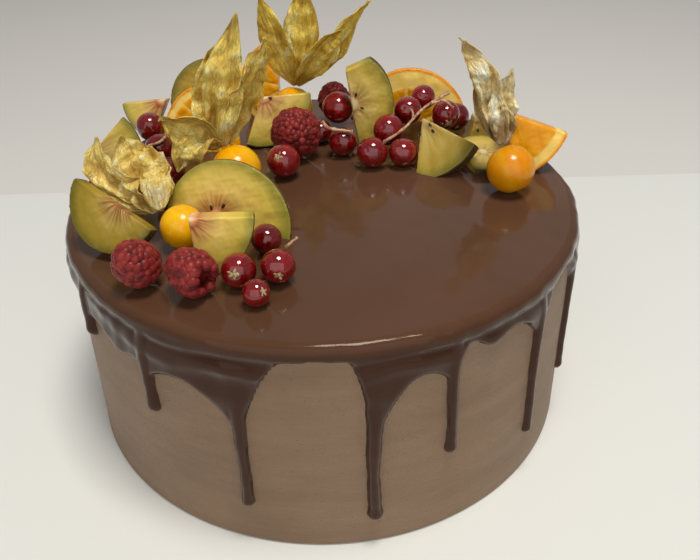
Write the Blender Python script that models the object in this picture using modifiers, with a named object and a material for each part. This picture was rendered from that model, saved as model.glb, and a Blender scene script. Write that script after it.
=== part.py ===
"""Chocolate drip cake dressed with a crescent of fresh fruit.

A round cake coated in chocolate buttercream stands on its flat base, centred on the Z axis.
A skin of ganache covers its top and runs down the side in drips. Kiwi slices, orange slices,
golden husk berries with their dried husks, raspberries and redcurrants lie along the back and
left of the top. Run with: blender --background --python part.py

Placements are written in millimetres and turned into metres by MM where a mesh is made.
A height called "rise" is measured from the ganache's top face.
"""

import math
from dataclasses import dataclass

import bmesh
import bpy
from mathutils import Matrix, Vector, noise

MM = 0.001
GAP = 0.3
SLIVER = 0.003
COLLECTION = "chocolate_fruit_cake"
CUTTERS = "cutters"

# Cake body: a slightly tapered drum
BASE_RADIUS = 100.0
SHOULDER_RADIUS = 96.8
TOP_HEIGHT = 89.0
GANACHE_DEPTH = 3.0
BODY_HEIGHT = TOP_HEIGHT - GANACHE_DEPTH - GAP
FOOT_ROUND = 1.2
SHOULDER_ROUND = 1.5
BODY_STEPS = 72

# Ganache: the skin on top, rounded over the shoulder, and its skirt down the side
LIP_ROUND = 4.0
LIP_HEIGHT = TOP_HEIGHT - LIP_ROUND
SKIRT_NOMINAL = 65.0
SKIRT_DEPTH = 1.3
GANACHE_STEPS = 120

# Drips: a neck inside the skirt, a thin waist and a bead at the tip, as parts of the drip's half width
DRIP_STEPS = 10
DRIP_FLATNESS = 0.46
DRIP_NECK_RISE = 6.0
DRIP_CAP_RISE = 3.0
DRIP_NECK = 1.3
DRIP_ROOT = 1.1
DRIP_WAIST = 0.85
DRIP_ABOVE_BEAD = 0.9
DRIP_BEAD = 1.12
DRIP_BEAD_LENGTH = 1.3

# Round berries: a coarse ball is swollen so that its faces lie around the real size
BERRY_DETAIL = 2
LARGE_BERRY = 15.0
COARSE_SWELL = 1.05
CALYX_PULL = 1.08

# Raspberries: blunt cones with a swell on each drupelet
RASPBERRY_DETAIL = 3
DRUPELET_HEIGHT = 0.11
DRUPELET_COSINE = 0.93
RASPBERRY_TAPER = 0.18
HOLLOW_FROM = -0.75
HOLLOW_DEPTH = 0.25

# Slices
SLICE_STEPS = 30

# Husks: rows and columns of each lobe, and its widths at the root and the tip
HUSK_ROWS = 7
HUSK_COLUMNS = 2
HUSK_THICKNESS = 0.6
HUSK_ROOT_WIDTH = 0.20
HUSK_TIP_WIDTH = 0.09
HUSK_WAVE = 2.5

# Stalks
STALK_STEPS = 2
SIDE_STEM_SHARE = 0.8

# Colours and finish: base colour, roughness, metallic
FINISHES = {
    "buttercream": ((0.21, 0.13, 0.095), 0.75, 0.0),
    "ganache": ((0.045, 0.018, 0.010), 0.12, 0.0),
    "kiwi": ((0.46, 0.40, 0.08), 0.35, 0.0),
    "orange": ((0.85, 0.42, 0.02), 0.35, 0.0),
    "golden_berry": ((0.90, 0.36, 0.01), 0.25, 0.0),
    "husk": ((0.50, 0.37, 0.13), 0.65, 0.0),
    "raspberry": ((0.22, 0.02, 0.03), 0.50, 0.0),
    "currant": ((0.24, 0.004, 0.008), 0.08, 0.0),
    "stalk": ((0.50, 0.28, 0.17), 0.60, 0.0),
}


@dataclass(frozen=True)
class Drip:
    """One drip down the side: where it hangs, how far down, how wide, and where it leaves the skirt."""

    angle: float
    tip: float
    width: float
    root: float


@dataclass(frozen=True)
class Ball:
    """A round berry: place, diameter, and the way its dry calyx points (azimuth, elevation)."""

    name: str
    x: float
    y: float
    rise: float
    size: float
    calyx: tuple = (60.0, -30.0)


@dataclass(frozen=True)
class Raspberry:
    """A raspberry: place, width, length, the way its tip points, and whether its hollow shows."""

    name: str
    x: float
    y: float
    rise: float
    width: float
    length: float
    tip: tuple
    hollow: bool = False


@dataclass(frozen=True)
class Slice:
    """Part of a round fruit slice, from the centre of its front face.

    facing is the front face's azimuth and elevation. turn is where the kept sector starts,
    counted anticlockwise from the viewer's right, and sweep is how far it goes. stretch is the
    width over the height. trim is the direction and distance of a straight cut off the round.
    """

    name: str
    x: float
    y: float
    rise: float
    facing: tuple
    turn: float
    sweep: float
    radius: float
    thickness: float
    stretch: float = 1.0
    trim: tuple = ()


@dataclass(frozen=True)
class Lobe:
    """A husk's lobe: its tip and middle, from the husk's root, its width and its cross shape.

    facing is the azimuth its broad side looks to, and twist how far that turns from root to tip.
    """

    tip: tuple
    middle: tuple
    width: float
    facing: float
    cup: float
    twist: float


@dataclass(frozen=True)
class Husk:
    """A dried husk: its root on the berry, and the lobes that spread from it."""

    name: str
    x: float
    y: float
    rise: float
    lobes: tuple


@dataclass(frozen=True)
class Stalk:
    """A currant stalk: its thickness, the points of its main stem, and its side stems."""

    name: str
    thickness: float
    stem: tuple
    side_stems: tuple


DRIPS = (
    Drip(-148.0, 61.0, 5.0, 70.0),
    Drip(-127.0, 48.5, 4.8, 64.0),
    Drip(-107.3, 18.0, 4.4, 51.0),
    Drip(-82.2, 12.5, 5.0, 48.5),
    Drip(-66.6, 35.5, 4.2, 66.0),
    Drip(-43.5, 20.0, 4.2, 66.0),
    Drip(-22.5, 24.0, 4.2, 66.0),
    Drip(-3.0, 44.0, 4.6, 67.0),
    Drip(19.0, 16.0, 4.6, 58.0),
    Drip(38.0, 37.0, 4.2, 68.0),
    Drip(60.0, 24.0, 4.6, 60.0),
    Drip(79.0, 50.0, 4.8, 66.0),
    Drip(101.0, 14.0, 4.6, 56.0),
    Drip(122.0, 33.0, 4.2, 67.0),
    Drip(141.0, 20.0, 4.6, 60.0),
    Drip(163.0, 42.0, 4.6, 64.0),
    Drip(186.0, 27.0, 4.4, 62.0),
)

# Between drips: angle and height of the skirt's edge where it is highest or sags without a drip
SKIRT_MIDS = (
    (-142.5, 71.5), (-134.0, 67.0), (-130.5, 68.5), (-119.0, 68.5), (-97.5, 82.5), (-93.0, 83.5),
    (-87.5, 82.8), (-72.5, 73.0), (-63.0, 80.0), (-58.5, 76.0), (-53.0, 78.0), (-33.0, 84.0),
    (-12.0, 78.0), (8.0, 74.0), (29.0, 80.0), (50.0, 76.0), (70.0, 74.0), (90.0, 81.0),
    (112.0, 75.0), (132.0, 78.0), (152.0, 73.0), (175.0, 76.0), (201.0, 74.0),
)

CURRANTS = (
    Ball("currant_01", -27.9, -65.4, 6.2, 11.6, (-100.0, 5.0)),
    Ball("currant_02", -15.4, -63.7, 6.1, 11.4, (-80.0, -10.0)),
    Ball("currant_03", -21.8, -76.2, 4.9, 9.0, (-20.0, 30.0)),
    Ball("currant_04", -20.0, -46.4, 5.8, 10.6),
    Ball("currant_05", -72.9, 38.2, 11.9, 11.8),
    Ball("currant_06", -67.8, 27.0, 6.7, 12.4),
    Ball("currant_07", -59.6, -10.0, 5.4, 9.8),
    Ball("currant_08", -15.8, 10.8, 7.2, 13.4, (-130.0, 20.0)),
    Ball("currant_09", 7.4, 47.8, 14.4, 13.6),
    Ball("currant_10", -0.4, 42.6, 5.6, 10.0),
    Ball("currant_11", 8.8, 28.8, 6.5, 12.0),
    Ball("currant_12", 20.4, 17.2, 6.8, 12.6),
    Ball("currant_13", 33.1, 17.2, 6.4, 11.8),
    Ball("currant_14", 28.0, 29.6, 11.2, 13.0),
    Ball("currant_15", 37.8, 43.6, 13.8, 12.2),
    Ball("currant_16", 45.4, 52.6, 16.0, 11.0),
    Ball("currant_17", 54.1, 41.6, 12.2, 12.2),
    Ball("currant_18", 60.6, 51.4, 6.9, 12.0),
)

RASPBERRIES = (
    Raspberry("raspberry_01", -60.0, -64.4, 9.8, 15.0, 17.6, (-120.0, 60.0)),
    Raspberry("raspberry_02", -42.2, -69.2, 8.9, 15.0, 18.4, (165.0, 15.0), True),
    Raspberry("raspberry_03", -11.2, 27.8, 12.0, 20.8, 21.0, (-110.0, 35.0)),
    Raspberry("raspberry_04", 6.0, 62.6, 13.0, 14.6, 16.5, (-90.0, 70.0)),
    Raspberry("raspberry_05", -60.0, 1.6, 8.0, 12.5, 14.0, (-60.0, 50.0)),
)

GOLDEN_BERRIES = (
    Ball("golden_berry_01", -48.6, -41.0, 8.3, 15.4),
    Ball("golden_berry_02", -33.2, -1.6, 9.9, 19.0),
    Ball("golden_berry_03", -12.6, 58.2, 11.2, 17.6),
    Ball("golden_berry_04", 71.9, -7.1, 9.6, 18.4),
)

KIWIS = (
    Slice("kiwi_01", -70.8, -40.6, 18.2, (-112.0, 30.0), 158.0, 180.0, 17.2, 5.5),
    Slice("kiwi_02", -43.7, -55.0, 19.8, (-92.0, 12.0), 275.0, 85.0, 21.4, 6.5),
    Slice("kiwi_03", -34.5, -32.2, 3.7, (-104.0, 16.0), 0.0, 360.0, 23.4, 6.0),
    Slice("kiwi_04", -66.5, 50.0, 19.6, (-92.0, 18.0), 185.0, 60.0, 20.0, 7.0),
    Slice("kiwi_05", -90.4, 4.0, 14.1, (-80.0, 20.0), 295.0, 108.0, 21.0, 8.0),
    Slice("kiwi_06", -45.4, 47.6, 16.3, (-100.0, 9.0), 75.0, 180.0, 20.6, 7.0),
    Slice("kiwi_07", -25.4, 44.0, 21.4, (-85.0, 18.0), 248.0, 114.0, 21.4, 5.5),
    Slice("kiwi_08", 12.9, 38.7, 19.3, (-95.0, 4.0), 280.0, 180.0, 21.2, 7.0, 0.85, (114.0, 13.8)),
    Slice("kiwi_09", 41.0, 22.6, 19.2, (-122.0, 34.0), 280.0, 66.0, 26.0, 8.5),
    Slice("kiwi_10", 66.5, 18.1, 5.2, (-85.0, 80.0), 0.0, 360.0, 12.5, 4.6, 1.0, (190.0, 7.8)),
    Slice("kiwi_11", 66.4, 37.0, 13.0, (-85.0, 8.0), 256.0, 98.0, 18.0, 6.5),
)

ORANGES = (
    Slice("orange_01", -45.0, 37.6, 7.6, (-86.0, 12.0), 0.0, 360.0, 22.2, 6.5, 1.0, (0.0, 9.5)),
    Slice("orange_02", -15.0, 74.0, 14.5, (-95.0, 8.0), 0.0, 360.0, 22.5, 7.0, 1.0, (0.0, -4.5)),
    Slice("orange_03", 41.3, 62.6, -1.8, (-97.0, 8.0), 0.0, 360.0, 26.5, 7.0),
    Slice("orange_04", 71.2, 16.0, 24.0, (-105.0, 15.0), 292.0, 53.0, 28.5, 8.0),
)

HUSKS = (
    Husk("husk_01", -56.4, -37.6, 13.0, (
        Lobe((-20.8, 16.0, 20.9), (-17.6, 9.0, 7.7), 12.0, -125.0, 2.0, 30.0),
        Lobe((-14.4, 22.4, 17.9), (-8.6, 15.0, 8.2), 18.0, -95.0, -2.5, 20.0),
        Lobe((2.0, 18.0, 8.4), (-2.0, 12.4, 4.9), 10.0, -60.0, 2.0, -30.0),
    )),
    Husk("husk_02", -37.9, 2.3, 18.6, (
        Lobe((-23.0, -2.0, 10.5), (-12.0, -1.5, 6.5), 13.0, -90.0, 2.0, 0.0),
        Lobe((-17.5, -7.5, -7.5), (-11.5, -3.5, 1.0), 13.0, -90.0, 2.0, 0.0),
        Lobe((0.6, 6.0, 36.6), (-3.4, 7.0, 16.0), 13.0, -105.0, 2.0, 15.0),
        Lobe((10.1, 0.0, 49.1), (2.8, -1.0, 24.4), 13.0, -90.0, -2.5, -15.0),
        Lobe((18.5, -2.0, 41.3), (10.4, 1.8, 19.3), 11.5, -70.0, 2.0, 20.0),
    )),
    Husk("husk_03", -10.6, 60.7, 20.2, (
        Lobe((-13.2, -5.0, 39.9), (-7.6, -4.0, 20.2), 11.5, -100.0, 2.0, 10.0),
        Lobe((4.9, -3.0, 44.2), (3.1, -2.0, 23.6), 13.5, -90.0, -2.0, 0.0),
        Lobe((20.8, -10.0, 26.7), (11.0, -8.0, 15.4), 11.0, -75.0, 2.0, -20.0),
        Lobe((31.9, -5.0, 38.1), (15.7, -4.0, 17.5), 11.5, -80.0, 2.0, 20.0),
    )),
    Husk("husk_04", 68.7, -2.1, 17.6, (
        Lobe((-10.5, 8.3, 24.0), (-5.6, 7.3, 11.7), 8.0, -115.0, 2.0, 20.0),
        Lobe((-18.5, 5.3, 39.5), (-7.0, 3.6, 21.5), 9.0, -95.0, 2.0, 25.0),
        Lobe((2.5, 6.3, 27.0), (-0.6, 4.8, 13.7), 10.0, -70.0, -2.5, -20.0),
        Lobe((-0.5, 1.6, 15.0), (0.2, 1.4, 7.6), 8.5, -90.0, 2.0, 0.0),
    )),
)

STALKS = (
    Stalk("stalk_01", 1.2, ((25.6, 22.0, 8.9), (33.9, 24.3, 13.6), (43.0, 33.6, 18.4), (54.0, 37.6, 23.6)),
          (((38.2, 28.7, 16.2), (38.6, 33.4, 16.9), (38.4, 37.2, 16.5)),
           ((46.6, 34.9, 20.0), (52.0, 35.8, 20.8), (55.8, 34.6, 18.0)))),
    Stalk("stalk_02", 1.2, ((-62.6, 30.8, 14.6), (-65.5, 22.2, 12.3), (-72.0, 21.4, 10.1)), ()),
    Stalk("stalk_03", 1.4, ((0.4, 26.4, 17.0), (3.2, 26.0, 14.1), (12.8, 24.9, 12.6)), ()),
    Stalk("stalk_04", 1.0, ((-12.6, -61.6, 12.0), (-9.2, -57.4, 12.6)), ()),
)


def clear_scene():
    """Remove every object, so that the file starts empty."""
    for item in list(bpy.data.objects):
        bpy.data.objects.remove(item, do_unlink=True)


def new_collection(name, hidden=False):
    """Add a collection to the scene and return it."""
    collection = bpy.data.collections.new(name)
    bpy.context.scene.collection.children.link(collection)
    collection.hide_render = hidden
    return collection


def material(name):
    """Make or fetch the Principled material of that finish."""
    if name in bpy.data.materials:
        return bpy.data.materials[name]
    colour, roughness, metallic = FINISHES[name]
    made = bpy.data.materials.new(name)
    made.use_nodes = True
    shader = made.node_tree.nodes["Principled BSDF"]
    shader.inputs["Base Color"].default_value = (*colour, 1.0)
    shader.inputs["Roughness"].default_value = roughness
    shader.inputs["Metallic"].default_value = metallic
    made.diffuse_color = (*colour, 1.0)
    return made


def add_mesh(name, mesh, finish, smooth_angle=40.0):
    """Link a mesh as an object of the cake, with its finish and smooth shading."""
    thing = bpy.data.objects.new(name, mesh)
    bpy.data.collections[COLLECTION].objects.link(thing)
    mesh.materials.clear()
    mesh.materials.append(material(finish))
    mesh.shade_smooth()
    mesh.set_sharp_from_angle(angle=math.radians(smooth_angle))
    return thing


def mesh_from(bm, name):
    """Turn a bmesh into a mesh with its faces pointing out."""
    bmesh.ops.recalc_face_normals(bm, faces=bm.faces)
    mesh = bpy.data.meshes.new(name)
    bm.to_mesh(mesh)
    bm.free()
    return mesh


def direction(azimuth, elevation):
    """Return the unit vector of an azimuth and an elevation in degrees."""
    a, e = math.radians(azimuth), math.radians(elevation)
    return Vector((math.cos(a) * math.cos(e), math.sin(a) * math.cos(e), math.sin(e)))


def face_frame(azimuth, elevation):
    """Return the rotation whose Z is that direction, X the viewer's right and Y the way up."""
    normal = direction(azimuth, elevation)
    right = direction(azimuth + 90.0, 0.0)
    up = normal.cross(right)
    return Matrix((right, up, normal)).transposed().to_4x4()


def at(x, y, rise):
    """Return a point in metres, with its height measured from the ganache's top face."""
    return Vector((x, y, TOP_HEIGHT + rise)) * MM


def wall_radius(height):
    """Return the radius of the cake body's side at a height, both in millimetres."""
    return BASE_RADIUS + (SHOULDER_RADIUS - BASE_RADIUS) * height / BODY_HEIGHT


def turned(name, profile, steps):
    """Turn a profile of (radius, height) points round Z with a Screw modifier, and return a mesh."""
    line = bpy.data.meshes.new(name)
    line.from_pydata([(r * MM, 0.0, z * MM) for r, z in profile],
                     [(i, i + 1) for i in range(len(profile) - 1)], [])
    holder = bpy.data.objects.new(name, line)
    bpy.data.collections[CUTTERS].objects.link(holder)
    screw = holder.modifiers.new("turn", "SCREW")
    screw.steps = screw.render_steps = steps
    screw.use_merge_vertices = True
    screw.merge_threshold = 0.00001
    solid = bpy.data.meshes.new_from_object(holder.evaluated_get(bpy.context.evaluated_depsgraph_get()))
    bpy.data.objects.remove(holder, do_unlink=True)
    return solid


def arc(centre, radius, start, end, count):
    """Return points on an arc, as (radius, height) pairs, angles in degrees."""
    points = []
    for i in range(count + 1):
        a = math.radians(start + (end - start) * i / count)
        points.append((centre[0] + radius * math.cos(a), centre[1] + radius * math.sin(a)))
    return points


def build_body():
    """Make the buttercream drum."""
    shoulder = arc((SHOULDER_RADIUS - SHOULDER_ROUND, BODY_HEIGHT - SHOULDER_ROUND), SHOULDER_ROUND, 90, 0, 2)
    foot = arc((BASE_RADIUS - FOOT_ROUND, FOOT_ROUND), FOOT_ROUND, 0, -90, 2)
    profile = [(0.0, BODY_HEIGHT), *shoulder, *foot, (0.0, 0.0)]
    add_mesh("cake_body", turned("cake_body", profile, BODY_STEPS), "buttercream")


def skirt_edge(angle):
    """Return the height of the skirt's edge at an angle in degrees.

    From the middle between two drips the edge falls slowly at first and then steeply into the
    drip's root, so that each drip hangs from a web.
    """
    roots = [(drip.angle, drip.root) for drip in DRIPS]
    stations = sorted(((a + 360.0) % 360.0, z, z_is_root)
                      for group, z_is_root in ((roots, True), (SKIRT_MIDS, False)) for a, z in group)
    angle = (angle + 360.0) % 360.0
    wrapped = [(stations[-1][0] - 360.0, *stations[-1][1:]), *stations,
               (stations[0][0] + 360.0, *stations[0][1:])]
    for (a0, z0, root0), (a1, z1, root1) in zip(wrapped, wrapped[1:]):
        if a0 <= angle <= a1:
            t = (angle - a0) / (a1 - a0)
            if root0 and not root1:
                return z1 + (z0 - z1) * (1.0 - t) ** 2
            if root1 and not root0:
                return z0 + (z1 - z0) * t ** 2
            return z0 + (z1 - z0) * (0.5 - 0.5 * math.cos(math.pi * t))
    return stations[0][1]


def build_ganache_skin():
    """Make the ganache's top and skirt: a turned skin whose lower edge follows skirt_edge."""
    inner = SHOULDER_RADIUS + GAP
    outer = inner + SKIRT_DEPTH
    low = SKIRT_NOMINAL
    middle = (low + LIP_HEIGHT) / 2.0
    lip = arc((outer - LIP_ROUND, LIP_HEIGHT), LIP_ROUND, 90, 22.5, 3)
    hem = 0.75 * SKIRT_DEPTH
    profile = [(0.0, TOP_HEIGHT), *lip, (outer, LIP_HEIGHT), (outer, middle), (outer, low + hem),
               (outer - hem, low), (inner, low + GAP), (inner, middle),
               (inner, BODY_HEIGHT - SHOULDER_ROUND), (inner, BODY_HEIGHT + GAP), (0.0, BODY_HEIGHT + GAP)]
    bm = bmesh.new()
    bm.from_mesh(turned("ganache", profile, GANACHE_STEPS))
    for vert in bm.verts:
        height = vert.co.z / MM
        if height < LIP_HEIGHT - 1e-3:
            edge = skirt_edge(math.degrees(math.atan2(vert.co.y, vert.co.x)))
            height = LIP_HEIGHT - (LIP_HEIGHT - height) * (LIP_HEIGHT - edge) / (LIP_HEIGHT - low)
            radius = vert.co.xy.length / MM
            swell = (radius + wall_radius(height) - SHOULDER_RADIUS) / radius
            vert.co = Vector((vert.co.x * swell, vert.co.y * swell, height * MM))
    return mesh_from(bm, "ganache")


def build_drip(drip):
    """Make one drip: a tapering turned bead, flattened and leant against the wall."""
    half = drip.width / 2.0
    neck = drip.root + DRIP_NECK_RISE
    length = DRIP_BEAD_LENGTH * half
    bead = drip.tip + length
    round_end = [(DRIP_BEAD * half * math.cos(a), bead - length * math.sin(a))
                 for a in (math.radians(10.0), math.radians(50.0))]
    profile = [(0.0, neck + DRIP_CAP_RISE), (DRIP_NECK * half, neck), (DRIP_ROOT * half, drip.root - half),
               (DRIP_WAIST * half, (drip.root + bead) / 2.0), (DRIP_ABOVE_BEAD * half, bead + length),
               *round_end, (0.0, drip.tip)]
    mesh = turned("drip", profile, DRIP_STEPS)
    for vert in mesh.vertices:
        height = vert.co.z / MM
        depth = vert.co.x * DRIP_FLATNESS / MM
        radius = wall_radius(height) + GAP + DRIP_NECK * half * DRIP_FLATNESS + depth
        sideways = vert.co.y / MM
        turn = math.radians(drip.angle) + math.atan2(sideways, radius)
        vert.co = Vector((radius * math.cos(turn), radius * math.sin(turn), height)) * MM
    holder = bpy.data.objects.new("drip", mesh)
    bpy.data.collections[CUTTERS].objects.link(holder)
    return holder


def join(first, others):
    """Fuse the other objects into the first with one Boolean union, and remove them."""
    group = bpy.data.collections.new("joining")
    bpy.context.scene.collection.children.link(group)
    for other in others:
        group.objects.link(other)
    union = first.modifiers.new("join", "BOOLEAN")
    union.operation = "UNION"
    union.operand_type = "COLLECTION"
    union.collection = group
    union.solver = "EXACT"
    union.use_self = True
    fused = bpy.data.meshes.new_from_object(first.evaluated_get(bpy.context.evaluated_depsgraph_get()))
    first.modifiers.remove(union)
    first.data = fused
    for other in others:
        bpy.data.objects.remove(other, do_unlink=True)
    bpy.data.collections.remove(group)


def build_ganache():
    """Make the ganache: skin, skirt and drips in one solid."""
    skin = add_mesh("ganache", build_ganache_skin(), "ganache")
    join(skin, [build_drip(drip) for drip in DRIPS])


def build_ball(ball, finish):
    """Make a round berry, with the point nearest its calyx pulled out a little."""
    bm = bmesh.new()
    small = ball.size < LARGE_BERRY
    detail = BERRY_DETAIL if small else BERRY_DETAIL + 1
    radius = ball.size / 2.0 * (COARSE_SWELL if small else 1.0)
    bmesh.ops.create_icosphere(bm, subdivisions=detail, radius=radius * MM)
    way = direction(*ball.calyx)
    tip = max(bm.verts, key=lambda v: v.co.dot(way))
    tip.co *= CALYX_PULL
    bmesh.ops.translate(bm, verts=bm.verts, vec=at(ball.x, ball.y, ball.rise))
    add_mesh(ball.name, mesh_from(bm, ball.name), finish, 80.0)


def build_raspberry(berry):
    """Make a raspberry: a blunt cone of drupelets, hollow at the broad end where that shows."""
    bm = bmesh.new()
    bmesh.ops.create_icosphere(bm, subdivisions=RASPBERRY_DETAIL - 1, radius=1.0)
    centres = [v.co.copy() for v in bm.verts]
    bm.clear()
    bmesh.ops.create_icosphere(bm, subdivisions=RASPBERRY_DETAIL, radius=1.0)
    turn = face_frame(*berry.tip)
    for vert in bm.verts:
        way = vert.co.normalized()
        near = max(way.dot(c) for c in centres)
        swell = 1.0 + DRUPELET_HEIGHT * (near - DRUPELET_COSINE) / (1.0 - DRUPELET_COSINE)
        taper = 1.0 - RASPBERRY_TAPER * way.z
        length = berry.length / 2.0
        if berry.hollow and way.z < HOLLOW_FROM:
            length *= HOLLOW_DEPTH
        vert.co = Vector((way.x * berry.width / 2.0 * taper, way.y * berry.width / 2.0 * taper,
                          way.z * length)) * swell * MM
    bmesh.ops.transform(bm, matrix=Matrix.Translation(at(berry.x, berry.y, berry.rise)) @ turn,
                        verts=bm.verts)
    add_mesh(berry.name, mesh_from(bm, berry.name), "raspberry", 80.0)


def cut(bm, point, normal):
    """Cut away what lies on the normal's side of a plane, and close the cut."""
    geometry = [*bm.verts, *bm.edges, *bm.faces]
    bmesh.ops.bisect_plane(bm, geom=geometry, plane_co=point, plane_no=normal, clear_outer=True,
                           dist=1e-7)
    open_edges = [e for e in bm.edges if e.is_boundary]
    if open_edges:
        bmesh.ops.holes_fill(bm, edges=open_edges)


def build_slice(piece, finish):
    """Make a slice: a disc cut to its sector, turned into place and cut flat at the ganache."""
    bm = bmesh.new()
    bmesh.ops.create_cone(bm, cap_ends=True, segments=SLICE_STEPS, radius1=piece.radius * MM,
                          radius2=piece.radius * MM, depth=piece.thickness * MM,
                          matrix=Matrix.Translation((0.0, 0.0, -piece.thickness / 2.0 * MM)))
    bmesh.ops.scale(bm, vec=(piece.stretch, 1.0, 1.0), verts=bm.verts)
    if piece.trim:
        way = direction(piece.trim[0], 0.0)
        cut(bm, way * piece.trim[1] * MM, way)
    if piece.sweep < 360.0:
        start = math.radians(piece.turn)
        end = math.radians(piece.turn + piece.sweep)
        cut(bm, Vector(), Vector((math.sin(start), -math.cos(start), 0.0)))
        if piece.sweep < 180.0:
            cut(bm, Vector(), Vector((-math.sin(end), math.cos(end), 0.0)))
    place = Matrix.Translation(at(piece.x, piece.y, piece.rise)) @ face_frame(*piece.facing)
    bmesh.ops.transform(bm, matrix=place, verts=bm.verts)
    cut(bm, at(0.0, 0.0, GAP), Vector((0.0, 0.0, -1.0)))
    add_mesh(piece.name, mesh_from(bm, piece.name), finish)


def lobe_point(lobe, along, across):
    """Return a point of a lobe's middle surface, from the husk's root, in millimetres.

    The spine is a curve through the lobe's middle to its tip. The lobe is widest near its middle
    and ends in a point, is cupped across, and is waved a little by smooth noise.
    """
    tip, middle = Vector(lobe.tip), Vector(lobe.middle)
    control = 2.0 * middle - 0.5 * tip
    spine = 2.0 * along * (1.0 - along) * control + along * along * tip
    tangent = 2.0 * (1.0 - 2.0 * along) * control + 2.0 * along * tip
    side = direction(lobe.facing + 90.0 + lobe.twist * along, 0.0)
    side = (side - side.dot(tangent) / tangent.length_squared * tangent).normalized()
    front = side.cross(tangent.normalized())
    belly = math.sin(math.pi * along ** 0.9)
    width = lobe.width / 2.0 * (belly + HUSK_ROOT_WIDTH * (1.0 - along) + HUSK_TIP_WIDTH)
    wave = HUSK_WAVE * along * noise.noise(Vector((along * 2.5, across * 1.2, lobe.width)))
    return spine + side * (across * width) + front * (lobe.cup * (across * across - 0.5) * belly + wave)


def build_lobe(husk, lobe):
    """Make one lobe of a husk: a sheet that Solidify turns into a thin closed solid."""
    root = Vector((husk.x, husk.y, TOP_HEIGHT + husk.rise))
    bm = bmesh.new()
    rows = []
    for i in range(HUSK_ROWS + 1):
        rows.append([bm.verts.new((root + lobe_point(lobe, i / HUSK_ROWS, 2.0 * j / HUSK_COLUMNS - 1.0)) * MM)
                     for j in range(HUSK_COLUMNS + 1)])
    for low, high in zip(rows, rows[1:]):
        for j in range(HUSK_COLUMNS):
            bm.faces.new((low[j], low[j + 1], high[j + 1], high[j]))
    bmesh.ops.triangulate(bm, faces=bm.faces)
    sheet = bpy.data.objects.new("lobe", mesh_from(bm, "lobe"))
    bpy.data.collections[CUTTERS].objects.link(sheet)
    paper = sheet.modifiers.new("paper", "SOLIDIFY")
    paper.thickness = HUSK_THICKNESS * MM
    paper.offset = 0.0
    sheet.modifiers.new("facets", "TRIANGULATE")
    solid = bpy.data.meshes.new_from_object(sheet.evaluated_get(bpy.context.evaluated_depsgraph_get()))
    sheet.modifiers.clear()
    sheet.data = solid
    return sheet


def build_husk(husk):
    """Make a husk: lobes that spread from its root, fused into one thin solid.

    Points of the cuts that are closer than SLIVER are merged, so that no needle edges are left.
    """
    first, *others = [build_lobe(husk, lobe) for lobe in husk.lobes]
    whole = add_mesh(husk.name, first.data, "husk")
    bpy.data.objects.remove(first, do_unlink=True)
    join(whole, others)
    bm = bmesh.new()
    bm.from_mesh(whole.data)
    bmesh.ops.remove_doubles(bm, verts=bm.verts, dist=SLIVER * MM)
    bmesh.ops.triangulate(bm, faces=bm.faces)
    bm.to_mesh(whole.data)
    bm.free()


def build_stem(points, thickness):
    """Make a stem as a bevelled curve turned into a closed mesh, and return its holder."""
    curve = bpy.data.curves.new("stem", "CURVE")
    curve.dimensions = "3D"
    curve.bevel_depth = thickness / 2.0 * MM
    curve.bevel_resolution = 1
    curve.use_fill_caps = True
    spline = curve.splines.new("POLY")
    smooth = smooth_path([at(*point) for point in points])
    spline.points.add(len(smooth) - 1)
    for target, point in zip(spline.points, smooth):
        target.co = (*point, 1.0)
    holder = bpy.data.objects.new("stem", curve)
    bpy.data.collections[CUTTERS].objects.link(holder)
    mesh = bpy.data.meshes.new_from_object(holder.evaluated_get(bpy.context.evaluated_depsgraph_get()))
    bpy.data.objects.remove(holder, do_unlink=True)
    bm = bmesh.new()
    bm.from_mesh(mesh)
    bmesh.ops.remove_doubles(bm, verts=bm.verts, dist=0.00001)
    solid = bpy.data.objects.new("stem", mesh_from(bm, "stem"))
    bpy.data.collections[CUTTERS].objects.link(solid)
    return solid


def smooth_path(points):
    """Return points on a smooth curve through the given ones (Catmull-Rom)."""
    ends = [2.0 * points[0] - points[1], *points, 2.0 * points[-1] - points[-2]]
    path = []
    for p0, p1, p2, p3 in zip(ends, ends[1:], ends[2:], ends[3:]):
        for i in range(STALK_STEPS):
            t = i / STALK_STEPS
            path.append(0.5 * (2.0 * p1 + (p2 - p0) * t + (2.0 * p0 - 5.0 * p1 + 4.0 * p2 - p3) * t ** 2
                               + (3.0 * p1 - p0 - 3.0 * p2 + p3) * t ** 3))
    return [*path, points[-1]]


def build_stalk(stalk):
    """Make a currant stalk: a main stem with its side stems fused on."""
    first = build_stem(stalk.stem, stalk.thickness)
    main_stem = add_mesh(stalk.name, first.data, "stalk")
    bpy.data.objects.remove(first, do_unlink=True)
    if stalk.side_stems:
        thinner = SIDE_STEM_SHARE * stalk.thickness
        join(main_stem, [build_stem(points, thinner) for points in stalk.side_stems])


def main():
    """Build the cake."""
    clear_scene()
    new_collection(COLLECTION)
    new_collection(CUTTERS, hidden=True)
    build_body()
    build_ganache()
    for ball in CURRANTS:
        build_ball(ball, "currant")
    for ball in GOLDEN_BERRIES:
        build_ball(ball, "golden_berry")
    for berry in RASPBERRIES:
        build_raspberry(berry)
    for piece in KIWIS:
        build_slice(piece, "kiwi")
    for piece in ORANGES:
        build_slice(piece, "orange")
    for husk in HUSKS:
        build_husk(husk)
    for stalk in STALKS:
        build_stalk(stalk)


main()
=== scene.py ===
"""Looks of a chocolate drip cake dressed with fresh fruit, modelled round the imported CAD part.

Each visible piece is built in metres in the CAD part's own frame and stands for its CAD node.
Placements are written in millimetres, and a "rise" is a height above the ganache's top face.
"""

from __future__ import annotations

import logging
import math
from collections.abc import Callable, Iterator
from contextlib import contextmanager
from dataclasses import dataclass
from enum import Enum
from functools import partial

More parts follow.
